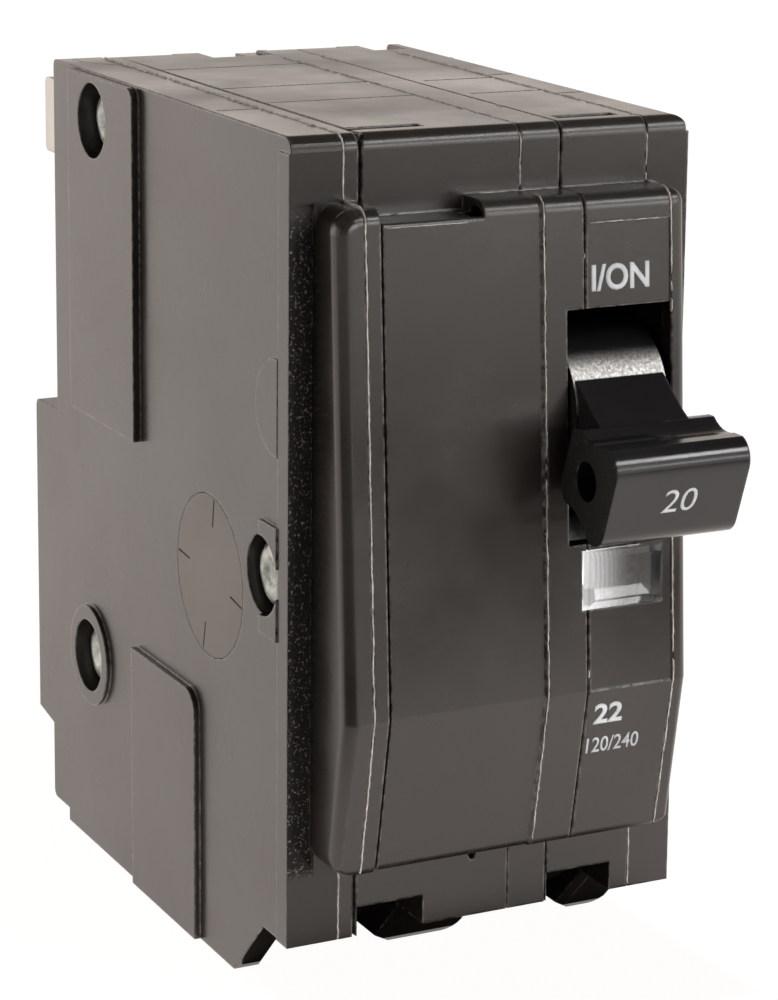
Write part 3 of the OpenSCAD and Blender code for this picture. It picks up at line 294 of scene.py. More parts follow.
# %% [markdown]
# ## Effects shared by the finishes
#
# Moulded phenolic is never one even black. It has a fine grain from the tool, cloudy patches
# where the resin flowed, and paler, smoother corners where it has been handled. Each of these
# could be built again in every material that shows it. Here each is a small group of nodes,
# built once and placed in every finish with its own values.

# %% Grain and clouds of a moulding
def group(name, inputs, outputs):
    """A node group with float inputs (name: default) and outputs (name: socket type)."""
    g = bpy.data.node_groups.new(name, "ShaderNodeTree")
    for key, value in inputs.items():
        s = g.interface.new_socket(key, in_out="INPUT", socket_type="NodeSocketFloat")
        s.default_value = value
    for key, kind in outputs.items():
        g.interface.new_socket(key, in_out="OUTPUT", socket_type=kind)
    print("group", name)
    return g, g.nodes.new("NodeGroupInput"), g.nodes.new("NodeGroupOutput")


moulded, given, made = group(
    "moulded_surface",
    {"Grain Size": 900.0, "Cloud Size": 60.0, "Pits": 0.2},
    {"Height": "NodeSocketFloat", "Clouds": "NodeSocketFloat", "Grain": "NodeSocketFloat"},
)
where = node(moulded, "ShaderNodeTexCoord")
grain = node(moulded, "ShaderNodeTexNoise", Detail=4.0, Roughness=0.65)
clouds = node(moulded, "ShaderNodeTexNoise", Detail=5.0, Roughness=0.55)
pits = node(moulded, "ShaderNodeTexVoronoi", Scale=2600.0)
pit_mask = ramp(moulded, 0.0, 0.25, -1.0, 0.0)
sunk = calc(moulded, "MULTIPLY_ADD")
for texture in (grain, clouds, pits):
    wire(moulded, (where, "Object", texture, "Vector"))
wire(moulded, (given, "Grain Size", grain, "Scale"), (given, "Cloud Size", clouds, "Scale"),
     (pits, "Distance", pit_mask, "Value"), (pit_mask, "Result", sunk, 0),
     (given, "Pits", sunk, 1), (grain, "Fac", sunk, 2), (sunk, 0, made, "Height"),
     (clouds, "Fac", made, "Clouds"), (grain, "Fac", made, "Grain"))

# %% Worn edges
edges, given, made = group(
    "rubbed_edges",
    {"Width": 0.0004, "Wear": 1.0},
    {"Mask": "NodeSocketFloat", "Normal": "NodeSocketVector"},
)
soft = node(edges, "ShaderNodeBevel", samples=6)
sharp = node(edges, "ShaderNodeNewGeometry")
same = node(edges, "ShaderNodeVectorMath", operation="DOT_PRODUCT")
turn = ramp(edges, 1.0, 0.82)
where = node(edges, "ShaderNodeTexCoord")
patchy = node(edges, "ShaderNodeTexNoise", Scale=1100.0, Detail=6.0, Roughness=0.6)
spots = ramp(edges, 0.42, 0.62)
worn = calc(edges, "MULTIPLY")
level = calc(edges, "MULTIPLY", clamp=True)
wire(edges, (given, "Width", soft, "Radius"), (soft, "Normal", same, 0),
     (sharp, "Normal", same, 1), (same, "Value", turn, "Value"),
     (where, "Object", patchy, "Vector"), (patchy, "Fac", spots, "Value"),
     (turn, "Result", worn, 0), (spots, "Result", worn, 1), (worn, 0, level, 0),
     (given, "Wear", level, 1), (level, 0, made, "Mask"), (soft, "Normal", made, "Normal"))

# %% [markdown]
# ## Finishes
#
# One recipe serves all solid pieces: a base colour that drifts with the clouds and pales on
# rubbed edges, a roughness that follows the grain, and a bump from the same grain. Plastic and
# metal differ only in their numbers. Values that are the same all over are set on the shader
# itself, so that they survive an export.

# %% The recipe
BUMP_DEPTH = 0.0002
PLAIN_BUMP = 0.05
print("a bump is at most", BUMP_DEPTH, "m deep")


def finish(name, dark, light, rough, worn_to=None, metal=0.0, ior=1.5, grain=900.0,
           cloud=60.0, bump=PLAIN_BUMP, edge=0.0003, wear=0.5, rough_drift=0.1):
    """A solid finish: two colours, mean roughness, and how strong each effect is."""
    m, t = material(name)
    skin = node(t, "ShaderNodeGroup", node_tree=moulded, Grain_Size=grain, Cloud_Size=cloud)
    rim = node(t, "ShaderNodeGroup", node_tree=edges, Width=edge, Wear=wear)
    spread = ramp(t, 0.35, 0.65)
    tint = mix(t, {MIX_A: (*dark, 1), MIX_B: (*light, 1)})
    paled = mix(t, {MIX_B: (*(worn_to or light), 1)})
    rougher = ramp(t, 0.3, 0.7, rough - rough_drift, rough + rough_drift)
    height = node(t, "ShaderNodeBump", Strength=bump, Distance=BUMP_DEPTH)
    shader = node(t, "ShaderNodeBsdfPrincipled", Metallic=metal, IOR=ior)
    out = node(t, "ShaderNodeOutputMaterial")
    wire(t, (skin, "Clouds", spread, "Value"), (spread, "Result", tint, 0),
         (rim, "Mask", paled, 0), (tint, MIX_OUT, paled, MIX_A),
         (paled, MIX_OUT, shader, "Base Color"), (skin, "Clouds", rougher, "Value"),
         (rougher, "Result", shader, "Roughness"), (skin, "Height", height, "Height"),
         (rim, "Normal", height, "Normal"), (height, "Normal", shader, "Normal"),
         (shader, "BSDF", out, "Surface"))
    return m


def dress(finish_made, *names):
    """Gives a finish to CAD nodes by name."""
    for name in names:
        nodes[name].data.materials.clear()
        nodes[name].data.materials.append(finish_made)
        for face in nodes[name].data.polygons:
            face.material_index = 0
    print(finish_made.name, "on", ", ".join(names))


def both(*stems):
    """The names of the left and right node of each kind."""
    return [f"{stem}_{hand}" for stem in stems for hand in ("left", "right")]


# %% [markdown]
# ## The housing
#
# The five mouldings of the housing come from one black phenolic compound, so they share one
# finish. It is nearly black with a warm cast and a soft gloss, and its rubbed edges go grey.
# The pressed plugs in the side faces are a paler, duller plastic.

# %% Housing
MOULDINGS = ("left_cover", "left_case", "centre_case", "right_case", "right_cover")
HOUSING_ROUGH = 0.27

phenolic = finish("black_phenolic", (0.016, 0.0135, 0.012), (0.026, 0.022, 0.0195),
                  HOUSING_ROUGH, worn_to=(0.3, 0.28, 0.26), ior=1.6, wear=0.95,
                  rough_drift=0.08)
dress(phenolic, *MOULDINGS)
plug = finish("pressed_plug", (0.075, 0.062, 0.052), (0.095, 0.08, 0.068), 0.42, ior=1.55)
dress(plug, "calibration_plugs")

# %% [markdown]
# ## The torn shoulder
#
# Left of the nose a narrow shoulder of the front face shows. The resin is broken open there:
# matt, dark and full of small bright specks. It could be a mesh of its own, but the break is
# shallow, so a second finish on a few faces of the cover is enough. Those faces are large, and
# only a part of them is torn. So the finish looks at where it is on the piece, and turns back
# into plain moulding right of a line, near the top and near the foot.

# %% Broken plastic
SPECK_EDGE = 0.08  # how softly a speck ends
TORN_PITS = 0.9
print("torn faces have pits of", TORN_PITS)


def torn(name, dark, bright, rough, share, scale, bump=0.6, limit=None):
    """A broken, grainy face: dark, with small bright specks where the resin tore.

    limit is (x, top, foot) in metres: right of x, above top or below foot the finish turns
    into plain moulding."""
    m, t = material(name)
    skin = node(t, "ShaderNodeGroup", node_tree=moulded, Grain_Size=scale, Pits=TORN_PITS)
    pick = ramp(t, share, share + SPECK_EDGE)
    tint = mix(t, {MIX_A: (*dark, 1), MIX_B: (*bright, 1)})
    height = node(t, "ShaderNodeBump", Strength=bump, Distance=BUMP_DEPTH)
    shader = node(t, "ShaderNodeBsdfPrincipled", Roughness=rough, IOR=1.5)
    out = node(t, "ShaderNodeOutputMaterial")
    wire(t, (skin, "Grain", pick, "Value"), (pick, "Result", tint, 0),
         (skin, "Height", height, "Height"), (height, "Normal", shader, "Normal"),
         (shader, "BSDF", out, "Surface"))
    if limit:
        turn_plain(t, tint, height, shader, rough, bump, limit)
    else:
        wire(t, (tint, MIX_OUT, shader, "Base Color"))
    return m


def turn_plain(t, tint, height, shader, rough, bump, limit):
    """Turns a torn finish back into plain moulding beyond its limit."""
    x, top, foot = limit
    where = node(t, "ShaderNodeTexCoord")
    parts = node(t, "ShaderNodeSeparateXYZ")
    right_of = ramp(t, x, x + 0.12 * MM)
    above = ramp(t, top - 2 * MM, top + 0.5 * MM)
    below = ramp(t, foot, foot - 1 * MM)
    beside = calc(t, "MAXIMUM")
    plain = calc(t, "MAXIMUM", clamp=True)
    mixed = mix(t, {MIX_B: (0.02, 0.017, 0.015, 1)})
    smoother = ramp(t, 0.0, 1.0, rough, HOUSING_ROUGH)
    flatter = ramp(t, 0.0, 1.0, bump, PLAIN_BUMP)
    wire(t, (where, "Object", parts, 0), (parts, "X", right_of, "Value"),
         (parts, "Z", above, "Value"), (parts, "Z", below, "Value"),
         (right_of, "Result", beside, 0), (above, "Result", beside, 1), (beside, 0, plain, 0),
         (below, "Result", plain, 1), (plain, 0, mixed, 0), (tint, MIX_OUT, mixed, MIX_A),
         (mixed, MIX_OUT, shader, "Base Color"), (plain, 0, smoother, "Value"),
         (smoother, "Result", shader, "Roughness"), (plain, 0, flatter, "Value"),
         (flatter, "Result", height, "Strength"))


# %% The shoulder's faces
def redress(name, finish_made, wanted):
    """Gives a finish to those faces of a node for which wanted(centre, normal) is true."""
    mesh = nodes[name].data
    mesh.materials.append(finish_made)
    picked = [f for f in mesh.polygons if wanted(f.center, f.normal)]
    for face in picked:
        face.material_index = len(mesh.materials) - 1
    print(name, finish_made.name, len(picked), "faces")


def on_shoulder(centre, normal):
    """The cover's faces that look forward at the front face, up to the seam."""
    x, y, _ = drawn(centre)
    return x < LEFT_SEAM + 0.1 and -0.2 < y < 1.2 and normal.y < -0.7


torn_to = at(2.25, 0, 70.8)
torn_from = at(0, 0, 13)
rough_black = torn("torn_black", (0.0045, 0.004, 0.004), (0.34, 0.31, 0.28), 0.7, 0.575, 4200.0,
                   limit=(torn_to.x, torn_to.z, torn_from.z))
redress("left_cover", rough_black, on_shoulder)

# %% [markdown]
# ## Handle, crank, flag and trip bar
#
# The handle is a harder, glossier black than the housing, with hardly any grain. Behind it lie
# a crank of the same plastic, a red flag that shows in the window after a trip, and a cream
# trip bar. The recipe serves all of them.

# %% Small mouldings
gloss = finish("glossy_black", (0.008, 0.008, 0.009), (0.014, 0.014, 0.015), 0.2,
               worn_to=(0.05, 0.05, 0.05), ior=1.52, bump=0.02, wear=0.2, rough_drift=0.04)
dress(gloss, "handle", "left_crank")
red = finish("red_flag", (0.45, 0.02, 0.012), (0.55, 0.035, 0.02), 0.45)
dress(red, "trip_flag")
cream = finish("cream_plastic", (0.6, 0.56, 0.45), (0.68, 0.64, 0.53), 0.5)
dress(cream, "trip_bar")

# %% [markdown]
# ## The clear window
#
# The trip window is a small clear block. Light enters it from the left and scatters in it, so
# its left side glows pale and its right side stays dark and clear. Tracing that light would
# take many samples. A faint glow that fades from left to right, broken by a few streaks, gives
# the same look at once, and clear plastic underneath still shows the flag.

# %% Lens
GLOW_END = 0.6  # the glow is gone this share of the way from the left side to the right one


def clear_plastic():
    """Clear, slightly hazy plastic with a painted, streaky glow on its left side."""
    m, t = material("clear_lens")
    lens_lo, lens_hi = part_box("indicator_lens")
    fades_at = (1 - GLOW_END) * lens_lo.x + GLOW_END * lens_hi.x
    skin = node(t, "ShaderNodeGroup", node_tree=moulded)
    hazy = ramp(t, 0.3, 0.7, 0.03, 0.16)
    where = node(t, "ShaderNodeTexCoord")
    parts = node(t, "ShaderNodeSeparateXYZ")
    # Painted light: an emitted glow, strongest at the left side, stands in for light scattered
    # in the lens
    painted_glow_fade = ramp(t, lens_lo.x, fades_at, 0.34, 0.01, smooth=True)
    streaks = node(t, "ShaderNodeTexWave", wave_type="BANDS", bands_direction="X", Scale=700.0,
                   Distortion=3.0, Detail=3.0)
    streaky = ramp(t, 0.0, 1.0, 0.7, 1.0)
    painted_glow = calc(t, "MULTIPLY")
    shader = node(t, "ShaderNodeBsdfPrincipled", Base_Color=(0.97, 0.98, 0.98, 1), IOR=1.58,
                  Transmission_Weight=1.0, Emission_Strength=1.0)
    out = node(t, "ShaderNodeOutputMaterial")
    wire(t, (where, "Object", parts, 0), (parts, "X", painted_glow_fade, "Value"),
         (where, "Object", streaks, "Vector"), (streaks, "Fac", streaky, "Value"),
         (painted_glow_fade, "Result", painted_glow, 0), (streaky, "Result", painted_glow, 1),
         (painted_glow, 0, shader, "Emission Color"), (skin, "Clouds", hazy, "Value"),
         (hazy, "Result", shader, "Roughness"), (shader, "BSDF", out, "Surface"))
    return m


dress(clear_plastic(), "indicator_lens")

# %% [markdown]
# ## The handle's painted highlight
#
# The barrel has a bright, speckled band just above the lever, a highlight painted into its
# colour, and the lever's ends are dull and speckled. The band could be a strip of mesh laid on
# the barrel.
# It follows the turn of the barrel exactly when it is a finish that reads the angle round the
# pivot instead, and then it has no edge to show.

# %% Faces of the barrel and of the lever's ends
# The barrel's faces within this span of angles get the painted highlight finish
HIGHLIGHT_SPAN = (30, 150)  # degrees from the lever's direction, upward
BARREL_OUT = (6.2, 7.4)  # the barrel's surface lies between these distances from the pivot
HUB_R = 3  # nearer to the pivot than this, the side faces stay glossy


def lever_angle(centre):
    """Angle round the pivot from the lever's direction, in degrees, and the distance out."""
    _, y, z = drawn(centre)
    dy, dz = y - PIVOT[0], z - PIVOT[1]
    turned_by = math.degrees(math.atan2(dz, -dy)) + math.degrees(LEVER_DROP)
    return turned_by, math.hypot(dy, dz)


def on_barrel(centre, normal):
    """The round of the barrel, where the opening lets it be seen."""
    angle, out_by = lever_angle(centre)
    return (HIGHLIGHT_SPAN[0] < angle < HIGHLIGHT_SPAN[1] and BARREL_OUT[0] < out_by < BARREL_OUT[1]
            and abs(normal.x) < 0.5)


def on_lever_end(centre, normal):
    """The side faces of the lever and its stem."""
    return abs(normal.x) > 0.9 and lever_angle(centre)[1] > HUB_R


dull_end = torn("dull_end", (0.007, 0.007, 0.007), (0.05, 0.05, 0.05), 0.7, 0.6, 1500.0)
redress("handle", dull_end, on_lever_end)


# %% The painted highlight
def painted_highlight_barrel():
    """Gloss black that turns into a bright, speckled painted highlight between two angles."""
    m, t = material("painted_highlight_barrel")
    # Above the lever by these angles the painted highlight starts, is full, starts to fade and
    # is gone
    rises, full, fades, gone = (math.radians(v) - LEVER_DROP for v in (44, 50, 51, 72))
    centre = at(0, *PIVOT)
    where = node(t, "ShaderNodeTexCoord")
    parts = node(t, "ShaderNodeSeparateXYZ")
    back = calc(t, "SUBTRACT", {0: centre.y})
    rise = calc(t, "SUBTRACT", {1: centre.z})
    angle = calc(t, "ARCTAN2")
    fade = ramp(t, rises, full, 0.55, 1.0, smooth=True)
    drop = ramp(t, fades, gone, 1.0, 0.0, smooth=True)
    band = calc(t, "MULTIPLY")
    skin = node(t, "ShaderNodeGroup", node_tree=moulded, Grain_Size=3200.0, Cloud_Size=180.0)
    speck = ramp(t, 0.35, 0.7, 0.35, 1.0)
    share = calc(t, "MULTIPLY", clamp=True)
    highlight_metal = calc(t, "MULTIPLY", {1: 0.55})
    # The pale colour and the touch of metal paint a highlight into the band, speckled by the
    # grain
    tint = mix(t, {MIX_A: (0.008, 0.008, 0.009, 1), MIX_B: (0.95, 0.94, 0.91, 1)})
    dull = ramp(t, 0.0, 1.0, 0.25, 0.42)
    height = node(t, "ShaderNodeBump", Strength=0.25, Distance=BUMP_DEPTH)
    shader = node(t, "ShaderNodeBsdfPrincipled", IOR=1.9)
    out = node(t, "ShaderNodeOutputMaterial")
    wire(t, (where, "Object", parts, 0), (parts, "Y", back, 1), (parts, "Z", rise, 0),
         (rise, 0, angle, 0), (back, 0, angle, 1), (angle, 0, fade, "Value"),
         (angle, 0, drop, "Value"), (fade, "Result", band, 0), (drop, "Result", band, 1),
         (skin, "Grain", speck, "Value"), (speck, "Result", share, 0), (band, 0, share, 1),
         (share, 0, tint, 0), (tint, MIX_OUT, shader, "Base Color"), (share, 0, highlight_metal, 0),
         (highlight_metal, 0, shader, "Metallic"), (band, 0, dull, "Value"),
         (dull, "Result", shader, "Roughness"), (skin, "Height", height, "Height"),
         (height, "Normal", shader, "Normal"), (shader, "BSDF", out, "Surface"))
    return m


redress("handle", painted_highlight_barrel(), on_barrel)

# %% [markdown]
# ## Metals and fibre
#
# Inside, each piece is of the metal that its job asks for: plated steel for pins and springs,
# nickel-plated iron for the magnet, copper where the current flows and silver where it is
# broken. The recipe serves them with a metallic base. The rivets are duller and darker, from
# handling. The clamp plates and terminal screws are a dark steel, painted shade for the deep
# recess they sit in, and the arc chutes are brown fibre.

# %% Metals
steel = finish("zinc_steel", (0.62, 0.62, 0.60), (0.72, 0.72, 0.70), 0.28, metal=1.0, bump=0.06)
dress(steel, "handle_shaft", "crank_pins", "cradle_pins", *both("toggle_spring", "cradle"))
rivet_metal = finish("rivet_metal", (0.2, 0.22, 0.21), (0.5, 0.53, 0.5), 0.36, metal=0.7,
                     bump=0.35, grain=1500.0, cloud=700.0)
dress(rivet_metal, "housing_rivets")
nickel = finish("dull_nickel", (0.42, 0.42, 0.42), (0.52, 0.52, 0.51), 0.38, metal=1.0)
dress(nickel, *both("armature", "magnet_yoke", "arc_plates"))
copper = finish("bare_copper", (0.62, 0.30, 0.18), (0.75, 0.42, 0.28), 0.33, metal=1.0)
dress(copper, *both("contact_arm", "braid", "load_strap"))
silver = finish("silver_contact", (0.75, 0.74, 0.72), (0.85, 0.84, 0.82), 0.25, metal=1.0)
dress(silver, "fixed_contacts", *both("moving_contact"))
tin = finish("tinned_copper", (0.42, 0.41, 0.38), (0.54, 0.53, 0.49), 0.42, metal=1.0)
dress(tin, *both("line_jaw"))
bimetal = finish("bimetal_strip", (0.50, 0.42, 0.28), (0.6, 0.52, 0.38), 0.35, metal=1.0)
dress(bimetal, *both("bimetal"))
# Painted shade: the clamp plates and terminal screws sit deep in the shaded recess, so their
# steel is made dark
dark_steel = finish("dark_steel", (0.10, 0.095, 0.085), (0.17, 0.16, 0.14), 0.42, metal=1.0)
dress(dark_steel, *both("clamp_plate", "terminal_screw"))
fibre = finish("brown_fibre", (0.22, 0.12, 0.07), (0.32, 0.19, 0.11), 0.6, bump=0.15)
dress(fibre, *both("arc_chute"))
print(len(bpy.data.materials), "materials")

# %% [markdown]
# ## Set rivet heads
#
# The mechanical model ends each rivet in a plain head. A real tubular rivet is rolled over when
# it is set, which leaves a domed, slightly dished button that fills most of its pocket. Each
# button is a profile turned round the rivet's axis, so it is closed and needs no boolean.

# %% The button
BUTTON_R, BUTTON_RISE = 3.25, 1.45
# From the middle out: the share of the radius, and the share of the rise there
PROFILE = [(0.0, 0.62), (0.22, 0.6), (0.34, 0.72), (0.42, 0.95), (0.55, 1.0), (0.72, 0.92),
           (0.88, 0.66), (0.97, 0.34), (1.0, 0.0)]
ROUNDS = 40
print("a button has", 1 + ROUNDS * (len(PROFILE) - 1), "points")


def turn_outward(mesh):
    """Turns every face of a closed mesh outward."""
    shape = bmesh.new()
    shape.from_mesh(mesh)
    bmesh.ops.recalc_face_normals(shape, faces=shape.faces)
    shape.to_mesh(mesh)
    shape.free()


def button(name, centre, toward, radius, rise, finish_made, body="housing"):
    """A domed, dished disc: centre is the middle of its base, toward points outward."""
    toward = Vector(toward).normalized()
    first = toward.orthogonal().normalized()
    second = toward.cross(first)
    points = [centre + toward * PROFILE[0][1] * rise * MM]
    for out_by, up_by in PROFILE[1:]:
        for k in range(ROUNDS):
            turn = 2 * math.pi * k / ROUNDS
            uneven = 1 + 0.03 * math.sin(3 * turn + out_by * 5) * up_by
            spoke = first * math.cos(turn) + second * math.sin(turn)
            points.append(centre + toward * up_by * rise * uneven * MM
                          + spoke * out_by * radius * MM)
    last = 1 + (len(PROFILE) - 2) * ROUNDS
    faces = [(0, 1 + k, 1 + (k + 1) % ROUNDS) for k in range(ROUNDS)]
    for a in range(1, last, ROUNDS):
        b = a + ROUNDS
        for k in range(ROUNDS):
            n = (k + 1) % ROUNDS
            faces.append((a + k, b + k, b + n, a + n))
    faces.append(tuple(range(last, last + ROUNDS)))
    mesh = bpy.data.meshes.new(name)
    mesh.from_pydata(points, [], faces)
    turn_outward(mesh)
    for face in mesh.polygons[:-1]:
        face.use_smooth = True
    mesh.materials.append(finish_made)
    obj = show(name, mesh)
    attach(obj, body)


# %% A button on each rivet end
RIVETS = {"upper": (44.4, 72.75), "lower": (47.3, 19.05), "front": (5.55, 38.3)}
OFF_CENTRE = 0.3  # the look at a head misses the point where its faces meet
SUNK_IN = 0.35  # how deep a button's base lies in the plain head

rivet_obj = nodes["housing_rivets"]
rivet_tree = BVHTree.FromPolygons(
    [rivet_obj.matrix_world @ v.co for v in rivet_obj.data.vertices],
    [list(f.vertices) for f in rivet_obj.data.polygons])
for label, (y, z) in RIVETS.items():
    for hand, start, way in (("left", -10, 1), ("right", 50, -1)):
        met = rivet_tree.ray_cast(at(start, y + OFF_CENTRE, z), Vector((way, 0, 0)))[0]
        base = met + Vector((way, 0, 0)) * SUNK_IN * MM
        base.y, base.z = at(0, y, z).y, at(0, y, z).z
        print(label, hand, "head at x =", round(drawn(met)[0], 2), "mm")
        button(f"rivet_head_{label}_{hand}", base, (-way, 0, 0), BUTTON_R, BUTTON_RISE,
               rivet_metal)

# %% [markdown]
# ## The moulder's flash
#
# Where two mouldings meet, a thin web of resin squeezes out and is broken off. What stays is a
# fine, ragged, paler line along each joint. It could be painted into the finish, but it stands
# proud and catches the light, so here it is built: narrow ridges that follow the real surface,
# found by looking straight at it, and broken at random places.

# %% Where a straight look meets the housing
shell_points, shell_faces = [], []
for name in MOULDINGS:
    obj = nodes[name]
    base = len(shell_points)
    shell_points += [obj.matrix_world @ v.co for v in obj.data.vertices]
    shell_faces += [[base + i for i in f.vertices] for f in obj.data.polygons]
shell = BVHTree.FromPolygons(shell_points, shell_faces)


def meet(x, y, z, look):
    """The first point of the housing met from (x, y, z) mm along look, and its normal."""
    place, normal, _, _ = shell.ray_cast(at(x, y, z), Vector(look))
    if place is None:
        return None
    return place, (normal if normal.dot(Vector(look)) < 0 else -normal)


print(len(shell_faces), "faces to look at")

# %% Ridges
WHOLE = 0.982  # the chance that a ridge goes on from one point to the next
JUMP = 0.5 * MM  # neighbours further apart than this lie on two sides of an edge
ROOT_IN = 0.03  # how deep a ridge's foot lies in the surface, in mm

flash_grey = finish("flash_grey", (0.32, 0.31, 0.29), (0.74, 0.72, 0.68), 0.6, grain=3000.0,
                    cloud=900.0, wear=0.0, bump=0.1, edge=0.00001)
flash_points, flash_faces = [], []
print("ridges of", flash_grey.name)


def ridge(track, width, proud, chance=WHOLE):
    """Adds one ragged ridge along track, a list of (point, normal), whole where chance is 1.

    It also breaks where two neighbours lie too far apart, as at the edge of an opening."""
    run = []
    for spot in track + [None]:
        gap = spot is None or random.random() > chance
        jump = bool(run) and spot is not None and (spot[0] - run[-1][0]).length > JUMP
        if not gap and not jump:
            run.append(spot)
            continue
        if len(run) > 3:
            add_ridge(run, width, proud)
        run = [] if gap else [spot]


def add_ridge(run, width, proud):
    """One closed ridge: a pointed start, four-cornered sections, a pointed end."""
    base = len(flash_points)
    flash_points.append(run[0][0])
    for i in range(1, len(run) - 1):
        place, normal = run[i]
        along = (run[i + 1][0] - run[i - 1][0]).normalized()
        aside = along.cross(normal).normalized()
        place = place + aside * random.gauss(0, 0.01) * MM
        half = width * random.uniform(0.7, 1.2) * MM
        high = proud * random.uniform(0.75, 1.12) * MM
        low = place - normal * ROOT_IN * MM
        top = place + normal * high
        flash_points.extend([low + aside * half, top + aside * half * 0.5,
                             top - aside * half * 0.5, low - aside * half])
    flash_points.append(run[-1][0])
    rings = len(run) - 2
    last = base + 1 + 4 * rings
    for k in range(4):
        n = (k + 1) % 4
        flash_faces.append((base, base + 1 + n, base + 1 + k))
        for r in range(rings - 1):
            a, b = base + 1 + 4 * r, base + 5 + 4 * r
            flash_faces.append((a + k, a + n, b + n, b + k))
        flash_faces.append((last, last - 4 + k, last - 4 + n))


# %% Lines to lay them along
# The ways to look at the front, at the top, and at the lip between them
FRONT, TOP, LIP = (0, 1, 0), (0, 0, -1), (0, 0.7071, -0.7071)
print("looking along", FRONT, TOP, LIP)


def track_of(starts, look):
    """The met points of a list of starts; a start that meets nothing is left out."""
    return [m for m in (meet(*s, look) for s in starts) if m]


def wander(first, last, wobble, pitch):
    """Places from first to last, about pitch apart, each with its drift off the line in mm."""
    count = max(4, int(abs(last - first) / pitch))
    drift, places = 0.0, []
    for i in range(count + 1):
        drift = 0.8 * drift + random.gauss(0, wobble)
        places.append((first + (last - first) * i / count, drift))
    return places


def upright(x, z0, z1, wobble=0.02):
    """A line up the front."""
    return track_of([(x + drift, -30, z) for z, drift in wander(z0, z1, wobble, 0.22)], FRONT)


def across(z, x0, x1, wobble):
    """A line from left to right on the front."""
    return track_of([(x, -30, z + drift) for x, drift in wander(x0, x1, wobble, 0.22)], FRONT)


def back_along(x, y0, y1, wobble=0.03, pitch=0.3):
    """A line from front to back on the top."""
    return track_of([(x + drift, y, 100) for y, drift in wander(y0, y1, wobble, pitch)], TOP)


def over_lip(x, y, z, reach):
    """A line over a rounded lip at (y, z), met from the front and above."""
    return track_of([(x + drift, y - 20 + step, z + 20 + step)
                     for step, drift in wander(-reach, reach, 0.01, 0.12)], LIP)


def root(x0, x1, wobble=0.02):
    """The line where the nose leaves the body's front face, seen from above."""
    count = int((x1 - x0) / 0.22)
    return track_of([(x0 + (x1 - x0) * i / count, -0.05 + random.gauss(0, wobble), 74)
                     for i in range(count + 1)], TOP)


# %% The seams
SEAM = 0.16  # how high the flash stands off the bottom of a seam, in mm
NOSE_LIP, BODY_LIP = (-3.4, 70.6), (0.7, 76.5)

# Each ridge has its line, its half width and its height in mm, and its chance to go on.
# A line says which seam or level it is on, where it starts and ends, and how much it wobbles.
random.seed(7)
ridge(back_along(LEFT_SEAM, 0.8, 55.8, 0.05), 0.12, SEAM)
ridge(upright(LEFT_SEAM, 71.6, 77.0), 0.12, SEAM + 0.05, 0.99)
ridge(back_along(LEFT_SEAM + 0.02, -3.4, -0.1, 0.02, 0.2), 0.1, SEAM + 0.05, 0.99)
ridge(upright(LEFT_SEAM, 13.5, 70.6, 0.012), 0.11, SEAM + 0.05, 0.985)
ridge(upright(LEFT_SEAM, 1.0, 12.6), 0.1, SEAM + 0.05)
ridge(over_lip(LEFT_SEAM, *NOSE_LIP, 1.1), 0.11, SEAM + 0.06, 1.0)
ridge(over_lip(LEFT_SEAM, *BODY_LIP, 1.1), 0.11, SEAM + 0.04, 1.0)
ridge(over_lip(MIDDLE_SEAM, *NOSE_LIP, 1.0), 0.08, SEAM + 0.03)
ridge(over_lip(CASE_SEAM, *NOSE_LIP, 1.1), 0.1, SEAM + 0.05, 1.0)
ridge(over_lip(RIGHT_SEAM, *NOSE_LIP, 1.0), 0.09, SEAM + 0.04)
# Along the panel's top edge a pale ridge is worn edge and a painted edge highlight, not flash
ridge(across(69.85, 6.7, 14.4, 0.006), 0.05, 0.05, 0.985)
ridge(upright(MIDDLE_SEAM, 71.8, 76.6), 0.09, SEAM + 0.03)
ridge(upright(MIDDLE_SEAM, 14.0, 70.2), 0.08, SEAM + 0.03)
ridge(upright(CASE_SEAM, 71.8, 76.6), 0.1, SEAM + 0.03)
ridge(upright(CASE_SEAM, 61.5, 70.4, 0.03), 0.1, SEAM + 0.05)
ridge(upright(CASE_SEAM, 13.5, 33.5, 0.02), 0.1, SEAM + 0.04)
ridge(upright(RIGHT_SEAM, 13.5, 76.6, 0.015), 0.09, SEAM + 0.04)
ridge(upright(RIGHT_SEAM, 6.0, 12.6), 0.09, SEAM + 0.03)
# Along the right pole's nose lip a pale ridge is a painted highlight of the lip, not flash
ridge(across(69.1, 25.8, 33.8, 0.012), 0.06, 0.06)
ridge(back_along(CASE_SEAM, 1.5, 50.0, 0.03), 0.1, SEAM - 0.02)
ridge(back_along(RIGHT_SEAM, 1.5, 50.0, 0.03), 0.09, SEAM - 0.02)
ridge(back_along(MIDDLE_SEAM, 1.5, 50.0, 0.03), 0.07, SEAM - 0.03)
ridge(root(4.8, 14.6), 0.07, 0.05, 0.95)
ridge(root(16.0, 25.3), 0.05, 0.04, 0.93)
sheet = bpy.data.meshes.new("flash_lines")
sheet.from_pydata(flash_points, [], flash_faces)
turn_outward(sheet)
sheet.materials.append(flash_grey)
flash = show("flash_lines", sheet)
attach(flash, "housing")
print(len(flash_faces), "faces of flash")

# %% [markdown]
# ## Marks on the front
#
# The handle's settings and a few plain numbers are printed in white. They could be set as text
# objects, but those stay flat and keep the type's own proportions. Each mark is set in the
# built-in type face, turned into a thin closed solid, stretched to its place and laid on the
# surface it belongs to.

# %% Lettering
INK_PROUD, INK_SUNK = 0.02, 0.03  # how far the ink stands out of its surface and lies in it
TYPE_THICK, TYPE_STEPS, WELD = 0.02, 4, 0.0004  # in heights of the type

ink = finish("white_ink", (0.62, 0.66, 0.7), (0.8, 0.84, 0.88), 0.55, grain=3000.0, wear=0.0,
             cloud=400.0)
print("marks of", ink.name)


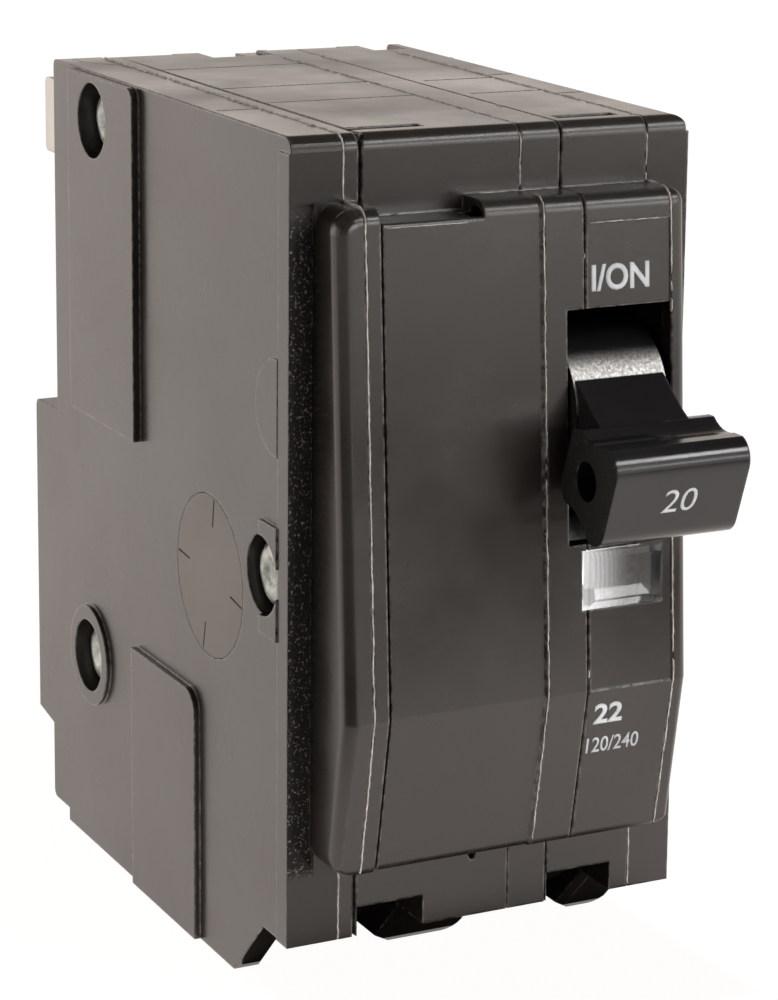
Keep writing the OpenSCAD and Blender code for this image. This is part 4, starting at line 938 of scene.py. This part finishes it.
def typed_mesh(name, words, slant, bold):
    """Words in the built-in type face, as a mesh of its own size."""
    curve = bpy.data.curves.new(name, "FONT")
    curve.body, curve.shear, curve.offset = words, slant, bold
    curve.extrude, curve.resolution_u = TYPE_THICK, TYPE_STEPS
    typed = show(name, curve)
    bpy.context.view_layer.update()
    mesh = bpy.data.meshes.new_from_object(typed.evaluated_get(
        bpy.context.evaluated_depsgraph_get()))
    bpy.data.objects.remove(typed)
    return mesh


def letters(name, words, corner, up, width, height, body, slant=0.0, bold=0.0):
    """Words as thin raised solids: corner is the lower left, up runs up the surface."""
    mesh = typed_mesh(name, words, slant, bold)
    right, up = Vector((1, 0, 0)), Vector(up).normalized()
    out = right.cross(up)
    shape = bmesh.new()
    shape.from_mesh(mesh)
    bmesh.ops.remove_doubles(shape, verts=shape.verts, dist=WELD)
    xs = [v.co.x for v in shape.verts]
    ys = [v.co.y for v in shape.verts]
    for v in shape.verts:
        v.co = (corner + right * (v.co.x - min(xs)) / (max(xs) - min(xs)) * width * MM
                + up * (v.co.y - min(ys)) / (max(ys) - min(ys)) * height * MM
                + out * (INK_PROUD if v.co.z > 0 else -INK_SUNK) * MM)
    bmesh.ops.recalc_face_normals(shape, faces=shape.faces)
    shape.to_mesh(mesh)
    shape.free()
    mesh.name = name
    mesh.materials.clear()
    mesh.materials.append(ink)
    obj = show(name, mesh)
    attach(obj, body)
    print(name, len(mesh.polygons), "faces")


# %% The marks
def on_nose(x, z):
    """The nose's surface at x and z, in the frame, and the way up along it."""
    low, high = meet(x, -30, z, FRONT)[0], meet(x, -30, z + 1, FRONT)[0]
    return low, high - low


FIGURE_DROP = 0.95  # from the lever's middle down to the foot of its figure
place, up = on_nose(26.15, 63.1)
letters("mark_i_on", "I/ON", place, up, 5.75, 2.35, "housing", bold=0.03)
place, up = on_nose(26.3, 24.6)
letters("mark_22", "22", place, up, 2.9, 2.0, "housing", bold=0.03)
place, up = on_nose(25.9, 21.8)
letters("mark_120_240", "120/240", place, up, 5.3, 1.5, "housing", bold=0.01)
out_to = Vector((0, -math.cos(LEVER_DROP), -math.sin(LEVER_DROP)))
up = Vector((0, -math.sin(LEVER_DROP), math.cos(LEVER_DROP)))
place = at(27.4, *PIVOT) + out_to * LEVER_REACH * MM - up * FIGURE_DROP * MM
letters("mark_20", "20", place, up, 3.35, 2.3, "handle", slant=0.08)
